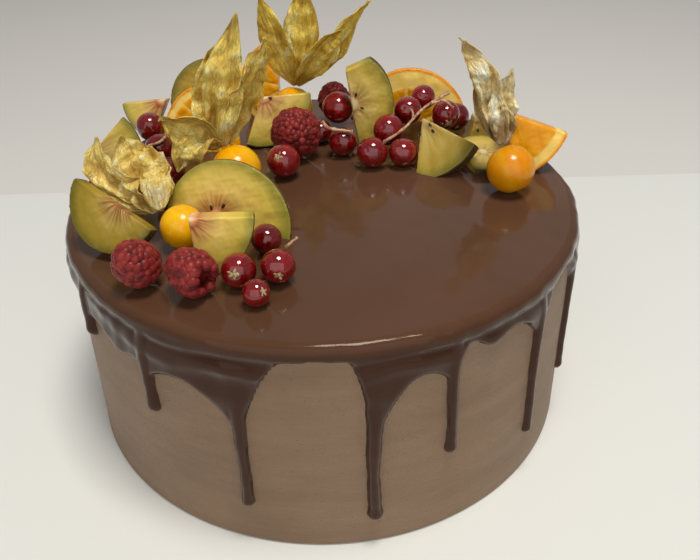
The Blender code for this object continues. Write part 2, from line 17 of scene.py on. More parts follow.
import bmesh
import bpy
import numpy as np
from bmesh.types import BMesh
from bpy.types import ID, Material, Mesh, Node, NodeSocket, NodeTree, Object, bpy_prop_collection
from mathutils import Matrix, Vector, noise
from mathutils.kdtree import KDTree

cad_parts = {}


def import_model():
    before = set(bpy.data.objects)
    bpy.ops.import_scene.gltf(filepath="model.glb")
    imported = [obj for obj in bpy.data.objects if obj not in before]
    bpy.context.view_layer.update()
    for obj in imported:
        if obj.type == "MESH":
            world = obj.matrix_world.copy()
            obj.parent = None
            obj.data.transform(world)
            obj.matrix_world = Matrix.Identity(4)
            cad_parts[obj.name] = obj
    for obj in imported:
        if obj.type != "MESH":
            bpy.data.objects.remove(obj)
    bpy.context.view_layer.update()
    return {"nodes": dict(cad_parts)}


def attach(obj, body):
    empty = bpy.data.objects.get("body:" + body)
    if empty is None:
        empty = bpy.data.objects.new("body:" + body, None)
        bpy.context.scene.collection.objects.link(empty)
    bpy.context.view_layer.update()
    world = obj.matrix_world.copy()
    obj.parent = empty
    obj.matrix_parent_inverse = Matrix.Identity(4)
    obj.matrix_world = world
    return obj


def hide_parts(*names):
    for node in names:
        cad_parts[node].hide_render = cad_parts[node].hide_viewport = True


LOG = logging.getLogger("cake")

MM = 0.001
TOP = 89.0
BODY = "root"
FRUIT_CO = "fruit_co"
FRUIT_TONE = "fruit_tone"

MATH = "ShaderNodeMath"
VECTOR = "ShaderNodeVectorMath"
NOISE = "ShaderNodeTexNoise"
RANGE = "ShaderNodeMapRange"
RAMP = "ShaderNodeValToRGB"
MIX = "ShaderNodeMix"
COLOURS = {"data_type": "RGBA", "out": 2}

Array = np.ndarray
Pair = tuple[float, float]
Colour = tuple[float, float, float, float]
Place = tuple[float, float, float]
Sockets = dict[str | int, object] | list[object]
Adder = Callable[..., NodeSocket]


def linear(code: str) -> Colour:
    """Turn an sRGB hex colour into the linear one that Blender's sockets take.

    Args:
        code: the colour as #RRGGBB.

    Returns:
        Red, green, blue and an alpha of 1.
    """
    parts = [int(code[i:i + 2], 16) / 255.0 for i in (1, 3, 5)]
    red, green, blue = (c / 12.92 if c <= 0.04045 else ((c + 0.055) / 1.055) ** 2.4 for c in parts)
    return red, green, blue, 1.0


def per_metre(size_mm: float) -> float:
    """Return the scale of a pattern whose marks are that many millimetres across."""
    return 1.0 / (size_mm * MM)


def soft_flesh(weight: float, bleed: Place, depth_mm: float) -> Sockets:
    """Return the shader inputs that let light bleed under the surface, to a depth in millimetres."""
    return {"Subsurface Weight": weight, "Subsurface Radius": bleed, "Subsurface Scale": depth_mm * MM}


def feed(made: Node, sockets: Sockets) -> None:
    """Fill a node's inputs.

    Args:
        made: the node.
        sockets: its inputs by name, by number or in order, each a value or the output that feeds it.
    """
    for key, value in sockets.items() if isinstance(sockets, dict) else enumerate(sockets):
        if isinstance(value, NodeSocket):
            made.id_data.links.new(value, made.inputs[key])
        else:
            made.inputs[key].default_value = value


def node(tree: NodeTree, kind: str, sockets: Sockets | None = None, out: int | str = 0,
         **settings: object) -> NodeSocket:
    """Add a node with its settings, values and links.

    Args:
        tree: the tree that gets the node.
        kind: the node's type.
        sockets: input name or number to a value, or to the output socket that feeds it; a list
            fills the first inputs in order.
        out: the name or number of the output that is wanted.
        **settings: the node's own properties, set before its inputs.

    Returns:
        That output of the new node.
    """
    made = tree.nodes.new(kind)
    for key, value in settings.items():
        setattr(made, key, value)
    feed(made, sockets or {})
    return made.outputs[out]


def set_stops(ramp: NodeSocket, stops: list[tuple[float, str]]) -> NodeSocket:
    """Fill a colour ramp.

    Args:
        ramp: the ramp's colour output.
        stops: each stop's position from 0 to 1 and its hex colour.

    Returns:
        The same output.
    """
    elements = ramp.node.color_ramp.elements
    while len(elements) < len(stops):
        elements.new(0.5)
    for element, (position, code) in zip(elements, stops):
        element.position = position
        element.color = linear(code)
    return ramp


def climb(values: Array, start: float = 0.0, span: float = 1.0) -> Array:
    """Return 0 before a start, 1 a span beyond it, and a straight climb between them."""
    return np.clip((values - start) / span, 0.0, 1.0)


def eased(share: Array) -> Array:
    """Return a share from 0 to 1 with a soft start and end."""
    return share * share * (3.0 - 2.0 * share)


def turned(angles: Array, start: float) -> Array:
    """Return how far angles are turned from a start, between -180 and 180 degrees."""
    return (angles - start + 180.0) % 360.0 - 180.0


def ways(angles: Array) -> Array:
    """Return the level unit vectors of angles in degrees."""
    return np.stack([np.cos(np.radians(angles)), np.sin(np.radians(angles))], axis=-1)


def ripple(points: Array, seed: int, wavelength: float,
           stretch: Place = (1.0, 1.0, 1.0)) -> Array:
    """Smooth noise at points, made of sine waves in random directions.

    Args:
        points: an (n, 3) array in millimetres.
        seed: the number that fixes the waves.
        wavelength: the typical distance between crests, in millimetres.
        stretch: how much longer the waves are along each axis.

    Returns:
        n values that mostly lie between -1.5 and 1.5.
    """
    rng = np.random.default_rng(seed)
    count = 26
    ways = rng.normal(size=(count, 3))
    ways /= np.linalg.norm(ways, axis=1, keepdims=True)
    ways *= 2.0 * math.pi / wavelength * rng.uniform(0.6, 1.5, (count, 1)) / np.array(stretch)
    phases = rng.uniform(0.0, 2.0 * math.pi, count)
    return np.sin(points @ ways.T + phases).sum(axis=1) * math.sqrt(2.0 / count) * 0.7


def creases(points: Array, seed: int, wavelength: float,
            stretch: Place = (1.0, 1.0, 1.0)) -> Array:
    """Sharp folds like crumpled paper's.

    Args:
        points: an (n, 3) array in millimetres.
        seed: the number that fixes the folds.
        wavelength: the typical distance between folds, in millimetres.
        stretch: how much longer the folds are along each axis.

    Returns:
        n values that mostly lie between -1 and 1.
    """
    rng = np.random.default_rng(seed)
    bent = points + 0.22 * wavelength * np.column_stack(
        [ripple(points, seed + k, 1.6 * wavelength, stretch) for k in range(3)])
    total = np.zeros(len(points))
    for strength in (1.0, 1.0, 0.8, 0.6, 0.45):
        way = rng.normal(size=3) / np.array(stretch)
        way /= np.linalg.norm(way) * wavelength * rng.uniform(0.7, 1.5) * (0.4 + 0.6 * strength)
        total += strength * (np.abs((bent @ way + rng.uniform()) % 1.0 - 0.5) * 4.0 - 1.0)
    return total / 2.2


def direction(azimuth: float, elevation: float) -> Vector:
    """Return the unit vector of an azimuth and an elevation in degrees."""
    a, e = math.radians(azimuth), math.radians(elevation)
    return Vector((math.cos(a) * math.cos(e), math.sin(a) * math.cos(e), math.sin(e)))


def face_frame(azimuth: float, elevation: float) -> Matrix:
    """Turn an upright frame to a direction.

    Args:
        azimuth: the direction round Z, in degrees.
        elevation: its rise over level, in degrees.

    Returns:
        The rotation whose Z is that direction, X the viewer's right and Y the way up.
    """
    normal = direction(azimuth, elevation)
    right = direction(azimuth + 90.0, 0.0)
    return Matrix((right, normal.cross(right), normal)).transposed().to_4x4()


def at(x: float, y: float, rise: float) -> Vector:
    """Return a point in metres, its height counted from the ganache's top face."""
    return Vector((x, y, TOP + rise)) * MM


def mesh_from(name: str, points: Array, faces: list) -> Mesh:
    """Make a smooth mesh.

    Args:
        name: its name.
        points: its points in millimetres.
        faces: its faces' point numbers.

    Returns:
        The mesh, in metres.
    """
    mesh = bpy.data.meshes.new(name)
    mesh.from_pydata((np.asarray(points) * MM).tolist(), [], [list(map(int, f)) for f in faces])
    mesh.validate()
    mesh.shade_smooth()
    return mesh


@contextmanager
def editing(mesh: Mesh) -> Iterator[BMesh]:
    """Open a mesh for editing, and write it back at the end.

    Args:
        mesh: the mesh.

    Returns:
        The mesh's open form, to be used in a with block.
    """
    bm = bmesh.new()
    bm.from_mesh(mesh)
    yield bm
    bm.to_mesh(mesh)
    bm.free()


def face_outwards(mesh: Mesh) -> Mesh:
    """Recalculate a closed mesh's normals.

    Args:
        mesh: the mesh.

    Returns:
        The same mesh.
    """
    with editing(mesh) as bm:
        bmesh.ops.recalc_face_normals(bm, faces=bm.faces)
    return mesh


def points_of(mesh: Mesh) -> Array:
    """Read a mesh's points.

    Args:
        mesh: the mesh.

    Returns:
        An (n, 3) array in millimetres.
    """
    points = np.zeros(len(mesh.vertices) * 3)
    mesh.vertices.foreach_get("co", points)
    return points.reshape(-1, 3) / MM


def set_points(mesh: Mesh, points: Array) -> None:
    """Move a mesh's points to an (n, 3) array in millimetres."""
    mesh.vertices.foreach_set("co", (points * MM).ravel())
    mesh.update()


def store(mesh: Mesh, name: str, values: Array) -> None:
    """Keep an (n, 3) array on a mesh's points as a vector attribute."""
    attribute = mesh.attributes.new(name, "FLOAT_VECTOR", "POINT")
    attribute.data.foreach_set("vector", np.asarray(values, dtype=np.float32).ravel())


def evaluated(thing: Object) -> Mesh:
    """Apply an object's modifiers, and remove the object.

    Args:
        thing: the object.

    Returns:
        Its mesh with the modifiers applied.
    """
    mesh = bpy.data.meshes.new_from_object(thing.evaluated_get(bpy.context.evaluated_depsgraph_get()))
    bpy.data.objects.remove(thing, do_unlink=True)
    return mesh


def show(name: str, data: ID) -> Object:
    """Link data to the scene at the origin.

    Args:
        name: the object's name.
        data: a mesh, a lamp or a camera.

    Returns:
        The object.
    """
    thing = bpy.data.objects.new(name, data)
    bpy.context.scene.collection.objects.link(thing)
    return thing


def new_tree(name: str, sizes: dict[str, float | int]) -> tuple[Adder, bpy_prop_collection]:
    """Start a geometry tree with named size inputs.

    Args:
        name: the tree's name.
        sizes: each input's name and first value; a whole number makes an integer input.

    Returns:
        The function that adds a node to the tree, and the tree's inputs by name.
    """
    tree = bpy.data.node_groups.new(name, "GeometryNodeTree")
    tree.interface.new_socket("Geometry", in_out="INPUT", socket_type="NodeSocketGeometry")
    for label, value in sizes.items():
        kind = "NodeSocketInt" if isinstance(value, int) else "NodeSocketFloat"
        tree.interface.new_socket(label, in_out="INPUT", socket_type=kind).default_value = value
    tree.interface.new_socket("Geometry", in_out="OUTPUT", socket_type="NodeSocketGeometry")
    return partial(node, tree), tree.nodes.new("NodeGroupInput").outputs


def end_tree(made: NodeSocket, paint: Material) -> NodeTree:
    """End a geometry tree: make what it made real, smooth and painted.

    Args:
        made: the geometry so far.
        paint: its material.

    Returns:
        The tree.
    """
    tree = made.id_data
    whole = node(tree, "GeometryNodeRealizeInstances", [made])
    smooth = node(tree, "GeometryNodeSetShadeSmooth", [whole])
    painted = node(tree, "GeometryNodeSetMaterial", {"Geometry": smooth, "Material": paint})
    feed(tree.nodes.new("NodeGroupOutput"), [painted])
    return tree


def grow(tree: NodeTree, mesh: Mesh, sizes: dict[str, float | int]) -> Mesh:
    """Run a geometry tree.

    Args:
        tree: the tree.
        mesh: the mesh that it starts from.
        sizes: the values of its named inputs; one that isn't given keeps its first value.

    Returns:
        The plain mesh that it makes.
    """
    holder = show("growing", mesh)
    modifier = holder.modifiers.new("grow", "NODES")
    modifier.node_group = tree
    for item in tree.interface.items_tree:
        if item.in_out == "INPUT" and item.name in sizes:
            modifier[item.identifier] = sizes[item.name]
    return evaluated(holder)


def dress(name: str, mesh: Mesh, paints: list[Material], slot: str,
          *nodes: str) -> Object:
    """Show a finished mesh as a piece of the cake.

    Args:
        name: the piece's name.
        mesh: its mesh, in place.
        paints: its materials, in the order of its material numbers.
        slot: not used.
        *nodes: the CAD nodes it stands for.

    Returns:
        The piece.
    """
    thing = show(name, mesh)
    numbers = np.zeros(len(mesh.polygons), dtype=np.int32)
    mesh.polygons.foreach_get("material_index", numbers)
    mesh.materials.clear()
    for paint in paints:
        mesh.materials.append(paint)
    mesh.polygons.foreach_set("material_index", np.minimum(numbers, len(paints) - 1))
    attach(thing, BODY)
    if nodes:
        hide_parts(*nodes)
    LOG.info("%s: %d faces", name, len(mesh.polygons))
    return thing


def joined(meshes: list[Mesh], paint_numbers: list[int]) -> Mesh:
    """Put meshes together as one.

    Args:
        meshes: the meshes, of which the first takes up the others.
        paint_numbers: each mesh's material number.

    Returns:
        The first mesh.
    """
    bm = bmesh.new()
    for mesh, number in zip(meshes, paint_numbers):
        start = len(bm.faces)
        bm.from_mesh(mesh)
        bm.faces.ensure_lookup_table()
        for face in bm.faces[start:]:
            face.material_index = number
            face.smooth = True
    bm.to_mesh(meshes[0])
    bm.free()
    return meshes[0]


@dataclass(frozen=True)
class Finish:
    """What the finishes share: how a material starts and ends, and patterns that follow a fruit."""

    name: str = "finish"

    def start(self) -> tuple[Material, Adder, NodeSocket]:
        """Start the material.

        Returns:
            The material, the function that adds its nodes, and each point's place.
        """
        made = bpy.data.materials.new(self.name)
        made.use_nodes = True
        add = partial(node, made.node_tree)
        return made, add, add("ShaderNodeTexCoord", out="Object")

    def fruit(self, add: Adder) -> tuple[NodeSocket, list, list]:
        """Read what a cut fruit's finish needs.

        Args:
            add: the function that adds the material's nodes.

        Returns:
            Where a point is on the whole fruit, that place's parts, and the fruit's three tones.
        """
        spot, tone = (add("ShaderNodeAttribute", attribute_name=name,
                          out="Vector") for name in (FRUIT_CO, FRUIT_TONE))
        parts, tones = (add("ShaderNodeSeparateXYZ", [item]).node.outputs[:] for item in (spot, tone))
        return spot, parts, tones

    def rays(self, add: Adder, flat: NodeSocket, fineness: float,
             shift: NodeSocket) -> NodeSocket:
        """Return a place for a pattern of rays from the fruit's axis.

        Args:
            add: the function that adds a node.
            flat: the place across the axis.
            fineness: how fine the rays are.
            shift: what moves the pattern along and beside the axis.

        Returns:
            The place, which is the same all along a ray.
        """
        way = add(VECTOR, [flat], operation="NORMALIZE")
        way = add(VECTOR, {0: way, "Scale": fineness}, operation="SCALE")
        return add(VECTOR, [way, shift], operation="ADD")

    def end(self, made: Material, sockets: Sockets) -> Material:
        """Fill the Principled shader's inputs and return the material."""
        feed(made.node_tree.nodes["Principled BSDF"], sockets)
        return made


@dataclass(frozen=True)
class Buttercream(Finish):
    """Whipped chocolate buttercream, smoothed with a scraper: matte, with faint level smears and
    pin-hole pits where air bubbles were dragged open, coloured darker inside as painted shade."""

    name: str = "whipped_chocolate_buttercream"
    light: str = "#8F745C"
    base: str = "#856A50"
    deep: str = "#765C44"
    smear_mm: float = 9.0
    grain_mm: float = 0.9
    pit_mm: float = 2.6

    def build(self) -> Material:
        """Make the material.

        Returns:
            The material.
        """
        made, add, place = self.start()
        level = add("ShaderNodeMapping", {"Vector": place, "Scale": (0.14, 0.14, 1.0)})
        smear = add(NOISE, {"Vector": level, "Scale": per_metre(self.smear_mm), "Detail": 5.0,
                            "Roughness": 0.62})
        broad = add(NOISE, {"Vector": place, "Scale": per_metre(42.0), "Detail": 3.0})
        blend = add(MATH, [smear, broad], operation="ADD")
        tone = set_stops(add(RAMP, {"Fac": add(MATH, [blend, 0.5], operation="MULTIPLY")}),
                         [(0.34, self.deep), (0.50, self.base), (0.66, self.light)])
        pits = add("ShaderNodeTexVoronoi", {"Vector": place, "Scale": per_metre(self.pit_mm)})
        pit = add(RANGE, {"Value": pits, "From Min": 0.04, "From Max": 0.13})
        # Painted shade: the pits take a darker colour, as if shade fell in them.
        pit_shaded = add(MIX, {0: pit, 6: linear("#6A5242"), 7: tone}, **COLOURS)
        grain = add(NOISE, {"Vector": place, "Scale": per_metre(self.grain_mm), "Detail": 3.0,
                            "Roughness": 0.6})
        height = add(MATH, [smear, 1.6], operation="MULTIPLY")
        pebbly = add(RANGE, {"Value": broad, "From Min": 0.40, "From Max": 0.58, "To Min": 1.2,
                             "To Max": 3.2})
        height = add(MATH, [grain, pebbly, height], operation="MULTIPLY_ADD")
        height = add(MATH, [height, pit], operation="ADD")
        bump = add("ShaderNodeBump", {"Height": height, "Strength": 0.8, "Distance": 0.22 * MM})
        rough = add(RANGE, {"Value": grain, "To Min": 0.42, "To Max": 0.62})
        return self.end(made, {"Base Color": pit_shaded, "Roughness": rough, "Normal": bump, "IOR": 1.46,
                               **soft_flesh(0.12, (1.0, 0.6, 0.35), 1.2)})


@dataclass(frozen=True)
class GanacheGloss(Finish):
    """Poured dark chocolate ganache, set to a mirror-like skin with a little grain from cocoa
    butter. Below the lip its colour blends to a darker copy, painted shade on the skirt and drips."""

    name: str = "poured_dark_ganache"
    base: str = "#5C3E2D"
    deep: str = "#543927"
    # The wall colour is the same chocolate made darker, painted shade for the skirt and drips.
    wall: str = "#3E261B"
    sheen_tint: str = "#B0A8A0"
    speck_mm: float = 3.2
    painted_shade_below: float = 84.0
    unshaded_top_above: float = 88.6

    def build(self) -> Material:
        """Make the material.

        Returns:
            The material.
        """
        made, add, place = self.start()
        cloud = add(NOISE, {"Vector": place, "Scale": per_metre(34.0), "Detail": 4.0})
        tone = set_stops(add(RAMP, {"Fac": cloud}), [(0.30, self.deep), (0.70, self.base)])
        # Painted shade: below the lip the colour blends from the top's tone to the darker wall copy.
        height = add("ShaderNodeSeparateXYZ", [place], out="Z")
        level = add(RANGE, {"Value": height, "From Min": self.painted_shade_below * MM,
                            "From Max": self.unshaded_top_above * MM})
        tone = add(MIX, {0: level, 6: linear(self.wall), 7: tone}, **COLOURS)
        fine = add(NOISE, {"Vector": place, "Scale": per_metre(self.speck_mm), "Detail": 5.0,
                           "Roughness": 0.55})
        bump = add("ShaderNodeBump", {"Height": fine, "Strength": 0.12, "Distance": 0.12 * MM})
        rough = add(RANGE, {"Value": fine, "From Min": 0.3, "From Max": 0.7, "To Min": 0.09,
                            "To Max": 0.13})
        return self.end(made, {"Base Color": tone, "Roughness": rough, "Normal": bump, "IOR": 1.42,
                               "Specular Tint": linear(self.sheen_tint)})


@dataclass(frozen=True)
class KiwiFlesh(Finish):
    """Cut golden kiwi: a pale core, a reddish halo, fine pale rays, moist olive-yellow flesh and a
    thin brown skin.

    The pattern reads where a point is on the round fruit, not on the slice, so that cut faces
    show the layers they pass through. Tone is the halo's strength, how far the flesh is darkened
    toward olive, partly its own tint and partly painted shade, and a seed.
    """

    name: str = "moist_golden_kiwi"
    ray_fineness: float = 6.2

    def build(self) -> Material:
        """Make the material.

        Returns:
            The material.
        """
        made, add, place = self.start()
        spot, (_, _, full_reach), (halo, olive_and_painted_shade, seed) = self.fruit(add)
        flat = add(VECTOR, [spot, (1.0, 1.0, 0.0)], operation="MULTIPLY")
        reach = add(VECTOR, [flat], operation="LENGTH", out="Value")
        depth = add(MATH, [reach, 0.9], operation="MULTIPLY")
        depth = add(MATH, [depth, seed], operation="ADD")
        ray_at = self.rays(add, flat, self.ray_fineness, add("ShaderNodeCombineXYZ", {"Z": depth}))
        ray = add(NOISE, {"Vector": ray_at, "Scale": 1.0})
        ray = add(RANGE, {"Value": ray, "From Min": 0.42, "From Max": 0.60})
        cloud = add(NOISE, {"Vector": place, "Scale": per_metre(4.5), "Detail": 4.0, "Roughness": 0.6})
        wobble = add(MATH, [cloud, 0.10, reach], operation="MULTIPLY_ADD")
        wobble = add(MATH, [wobble, 0.05], operation="SUBTRACT")
        plain = set_stops(add(RAMP, {"Fac": wobble}),
                          [(0.00, "#F4E8BA"), (0.11, "#EEDEA6"), (0.17, "#CCAC64"), (0.32, "#D8BC60"),
                           (0.58, "#ECCE68"), (0.82, "#D8BF52"), (0.95, "#A0963C")])
        red = set_stops(add(RAMP, {"Fac": wobble}),
                        [(0.00, "#F6E0B0"), (0.10, "#EAB47C"), (0.17, "#CC6034"), (0.30, "#D89A50"),
                         (0.50, "#ECCC66"), (0.82, "#D8BF52"), (0.95, "#A0963C")])
        flesh = add(MIX, {0: halo, 6: plain, 7: red}, **COLOURS)
        # Darker, more olive flesh: partly the slice's own tint, partly painted shade for slices that lie
        # in shadow.
        green = add(MIX, {0: 1.0, 6: flesh, 7: linear("#B4AC84")}, blend_type="MULTIPLY", **COLOURS)
        flesh = add(MIX, {0: olive_and_painted_shade, 6: flesh, 7: green}, **COLOURS)
        inner = add(RANGE, {"Value": reach, "From Min": 0.12, "From Max": 0.20})
        outer = add(RANGE, {"Value": reach, "From Min": 0.26, "From Max": 0.70, "To Min": 1.0,
                            "To Max": 0.0})
        band = add(MATH, [inner, outer], operation="MULTIPLY")
        pale = add(MATH, [band, ray], operation="MULTIPLY")
        pale = add(MATH, [pale, 0.42], operation="MULTIPLY")
        flesh = add(MIX, {0: pale, 6: flesh, 7: linear("#EAD88C")}, **COLOURS)
        wedge = add(RANGE, {"Value": ray, "To Min": 1.0, "To Max": 0.0})
        near = add(RANGE, {"Value": reach, "From Min": 0.20, "From Max": 0.52, "To Min": 0.55,
                           "To Max": 0.0})
        near = add(MATH, [near, inner], operation="MULTIPLY")
        some = add(RANGE, {"Value": halo, "To Min": 0.25, "To Max": 1.0})
        near = add(MATH, [near, some], operation="MULTIPLY")
        dark = add(MATH, [wedge, near], operation="MULTIPLY")
        flesh = add(MIX, {0: dark, 6: flesh, 7: linear("#80602E")}, **COLOURS)
        ragged = add(MATH, [cloud, 0.012, full_reach], operation="MULTIPLY_ADD")
        skin = add(RANGE, {"Value": ragged, "From Min": 0.984, "From Max": 0.996})
        fuzz = set_stops(add(RAMP, {"Fac": cloud}), [(0.35, "#46361A"), (0.65, "#6A562A")])
        colour = add(MIX, {0: skin, 6: flesh, 7: fuzz}, **COLOURS)
        fine = add(NOISE, {"Vector": place, "Scale": per_metre(0.9), "Detail": 3.0})
        height = add(MATH, [pale, 0.7, fine], operation="MULTIPLY_ADD")
        bump = add("ShaderNodeBump", {"Height": height, "Strength": 0.25, "Distance": 0.12 * MM})
        rough = add(RANGE, {"Value": skin, "To Min": 0.27, "To Max": 0.75})
        return self.end(made, {"Base Color": colour, "Roughness": rough, "Normal": bump, "IOR": 1.38,
                               **soft_flesh(0.35, (1.0, 0.75, 0.25), 2.5)})


@dataclass(frozen=True)
class OrangeFlesh(Finish):
    """Cut orange: bright pored peel, matte white pith, and glistening juice sacs in ten segments
    parted by pale membranes.

    Tone is where the pith starts, how far painted shade darkens the flesh to a deep olive, and a seed.
    """

    name: str = "cut_orange"
    segments: float = 10.0
    sac_fineness: float = 9.0

    def build(self) -> Material:
        """Make the material.

        Returns:
            The material.
        """
        made, add, place = self.start()
        spot, (right, up, full_reach), (pith_at, painted_shade_share, seed) = self.fruit(add)
        flat = add(VECTOR, [spot, (1.0, 1.0, 0.0)], operation="MULTIPLY")
        reach = add(VECTOR, [flat], operation="LENGTH", out="Value")
        angle = add(MATH, [up, right], operation="ARCTAN2")
        turn = add(MATH, [angle, self.segments / (2.0 * math.pi), seed], operation="MULTIPLY_ADD")
        share = add(MATH, [turn, 0.5], operation="PINGPONG")
        apart = add(MATH, [share, reach], operation="MULTIPLY")
        cloud = add(NOISE, {"Vector": place, "Scale": per_metre(3.5), "Detail": 4.0})
        apart = add(MATH, [cloud, 0.05, apart], operation="MULTIPLY_ADD")
        wall = add(RANGE, {"Value": apart, "From Min": 0.04, "From Max": 0.075, "To Min": 0.9,
                           "To Max": 0.0})
        deep = add(MATH, [reach, 4.5], operation="MULTIPLY")
        sac_at = self.rays(add, flat, self.sac_fineness, add("ShaderNodeCombineXYZ", {"Z": deep}))
        sac = add("ShaderNodeTexVoronoi", {"Vector": sac_at, "Scale": 1.0})
        juicy = set_stops(add(RAMP, {"Fac": sac}),
                          [(0.10, "#FFB208"), (0.55, "#FBA402"), (0.95, "#FFC62C")])
        # Painted shade: the olive ramp is a darker, duller copy of the flesh for slices that lie in
        # shadow.
        olive = set_stops(add(RAMP, {"Fac": sac}),
                          [(0.10, "#C4921A"), (0.55, "#B0800E"), (0.95, "#D2A63A")])
        flesh = add(MIX, {0: painted_shade_share, 6: juicy, 7: olive}, **COLOURS)
        pith = set_stops(add(RAMP, {"Fac": cloud}), [(0.3, "#FFD360"), (0.7, "#FFDE7E")])
        flesh = add(MIX, {0: wall, 6: flesh, 7: pith}, **COLOURS)
        start = add(MATH, [cloud, -0.02, reach], operation="MULTIPLY_ADD")
        start = add(MATH, [start, pith_at], operation="SUBTRACT")
        in_pith = add(RANGE, {"Value": start, "From Min": -0.04, "From Max": -0.01})
        inside = add(MIX, {0: in_pith, 6: flesh, 7: pith}, **COLOURS)
        peel = set_stops(add(RAMP, {"Fac": cloud}), [(0.3, "#F0900A"), (0.7, "#FAA61A")])
        in_peel = add(RANGE, {"Value": full_reach, "From Min": 0.935, "From Max": 0.975})
        colour = add(MIX, {0: in_peel, 6: inside, 7: peel}, **COLOURS)
        pore = add("ShaderNodeTexVoronoi", {"Vector": place, "Scale": per_metre(1.3)})
        pore = add(RANGE, {"Value": pore, "From Max": 0.35})
        pore = add(MATH, [pore, in_peel], operation="MULTIPLY")
        moist = add(RANGE, {"Value": in_pith, "To Min": 1.0, "To Max": 0.1})
        juicy_sac = add(MATH, [sac, moist], operation="MULTIPLY")
        height = add(MATH, [juicy_sac, -0.8, pore], operation="MULTIPLY_ADD")
        bump = add("ShaderNodeBump", {"Height": height, "Strength": 0.5, "Distance": 0.25 * MM})
        dry = add(MATH, [in_pith, in_peel], operation="SUBTRACT")
        rough = add(RANGE, {"Value": dry, "To Min": 0.24, "To Max": 0.60})
        return self.end(made, {"Base Color": colour, "Roughness": rough, "Normal": bump, "IOR": 1.34,
                               **soft_flesh(0.25, (1.0, 0.5, 0.12), 3.0)})


@dataclass(frozen=True)
class BerrySkin(Finish):
    """Thin, taut berry skin over soft flesh: glossy, a little see-through, with faint lines from
    stalk to tip."""

    name: str = "taut_berry_skin"
    deep: str = "#6E070A"
    base: str = "#860B0F"
    light: str = "#9A1618"
    roughness: float = 0.10
    coat: float = 1.0
    coat_roughness: float = 0.03
    depth_mm: float = 1.6
    bleed: Place = (1.0, 0.10, 0.08)
    lines: float = 4.0
    dimple: float = 0.12
    ripe: str = "#BC9C9C"

    def build(self) -> Material:
        """Make the material.

        Returns:
            The material.
        """
        made, add, place = self.start()
        spot = add("ShaderNodeAttribute", attribute_name=FRUIT_CO, out="Vector")
        flat = add(VECTOR, [spot, (1.0, 1.0, 0.001)], operation="MULTIPLY")
        low = add(VECTOR, [spot, (0.4, 0.4, 0.4)], operation="MULTIPLY")
        line_at = self.rays(add, flat, self.lines, low)
        line = add(NOISE, {"Vector": line_at, "Scale": 1.0})
        cloud = add(NOISE, {"Vector": place, "Scale": per_metre(6.0), "Detail": 3.0})
        mixed = add(MATH, [line, cloud], operation="ADD")
        mixed = add(MATH, [mixed, 0.5], operation="MULTIPLY")
        tone = set_stops(add(RAMP, {"Fac": mixed}),
                         [(0.38, self.deep), (0.50, self.base), (0.62, self.light)])
        ripe = add("ShaderNodeAttribute", attribute_name=FRUIT_TONE, out="Fac")
        full = add(MIX, {0: 1.0, 6: tone, 7: linear(self.ripe)}, blend_type="MULTIPLY", **COLOURS)
        tone = add(MIX, {0: ripe, 6: tone, 7: full}, **COLOURS)
        fine = add(NOISE, {"Vector": place, "Scale": per_metre(1.1)})
        bump = add("ShaderNodeBump", {"Height": fine, "Strength": self.dimple, "Distance": 0.10 * MM})
        return self.end(made, {"Base Color": tone, "Normal": bump, "Roughness": self.roughness,
                               "IOR": 1.42, "Coat Weight": self.coat,
                               "Coat Roughness": self.coat_roughness,
                               **soft_flesh(0.4, self.bleed, self.depth_mm)})


@dataclass(frozen=True)
class RaspberryBloom(Finish):
    """Raspberry drupelets: deep red, soft to the light, with a dull bloom of fine down.

    The down is drawn about ten times as coarse as it is, so that it shows.
    """

    name: str = "downy_raspberry"

    def build(self) -> Material:
        """Make the material.

        Returns:
            The material.
        """
        made, add, place = self.start()
        cloud = add(NOISE, {"Vector": place, "Scale": per_metre(3.2), "Detail": 4.0})
        tone = set_stops(add(RAMP, {"Fac": cloud}),
                         [(0.32, "#5E0F0E"), (0.50, "#7E1C18"), (0.68, "#98302A")])
        down = add(NOISE, {"Vector": place, "Scale": per_metre(0.35)})
        bump = add("ShaderNodeBump", {"Height": down, "Strength": 0.25, "Distance": 0.06 * MM})
        return self.end(made, {"Base Color": tone, "Normal": bump, "Roughness": 0.42, "IOR": 1.36,
                               "Sheen Weight": 0.10, "Sheen Roughness": 0.5,
                               "Sheen Tint": linear("#E8B9B6"),
                               **soft_flesh(0.35, (1.0, 0.12, 0.12), 1.2)})


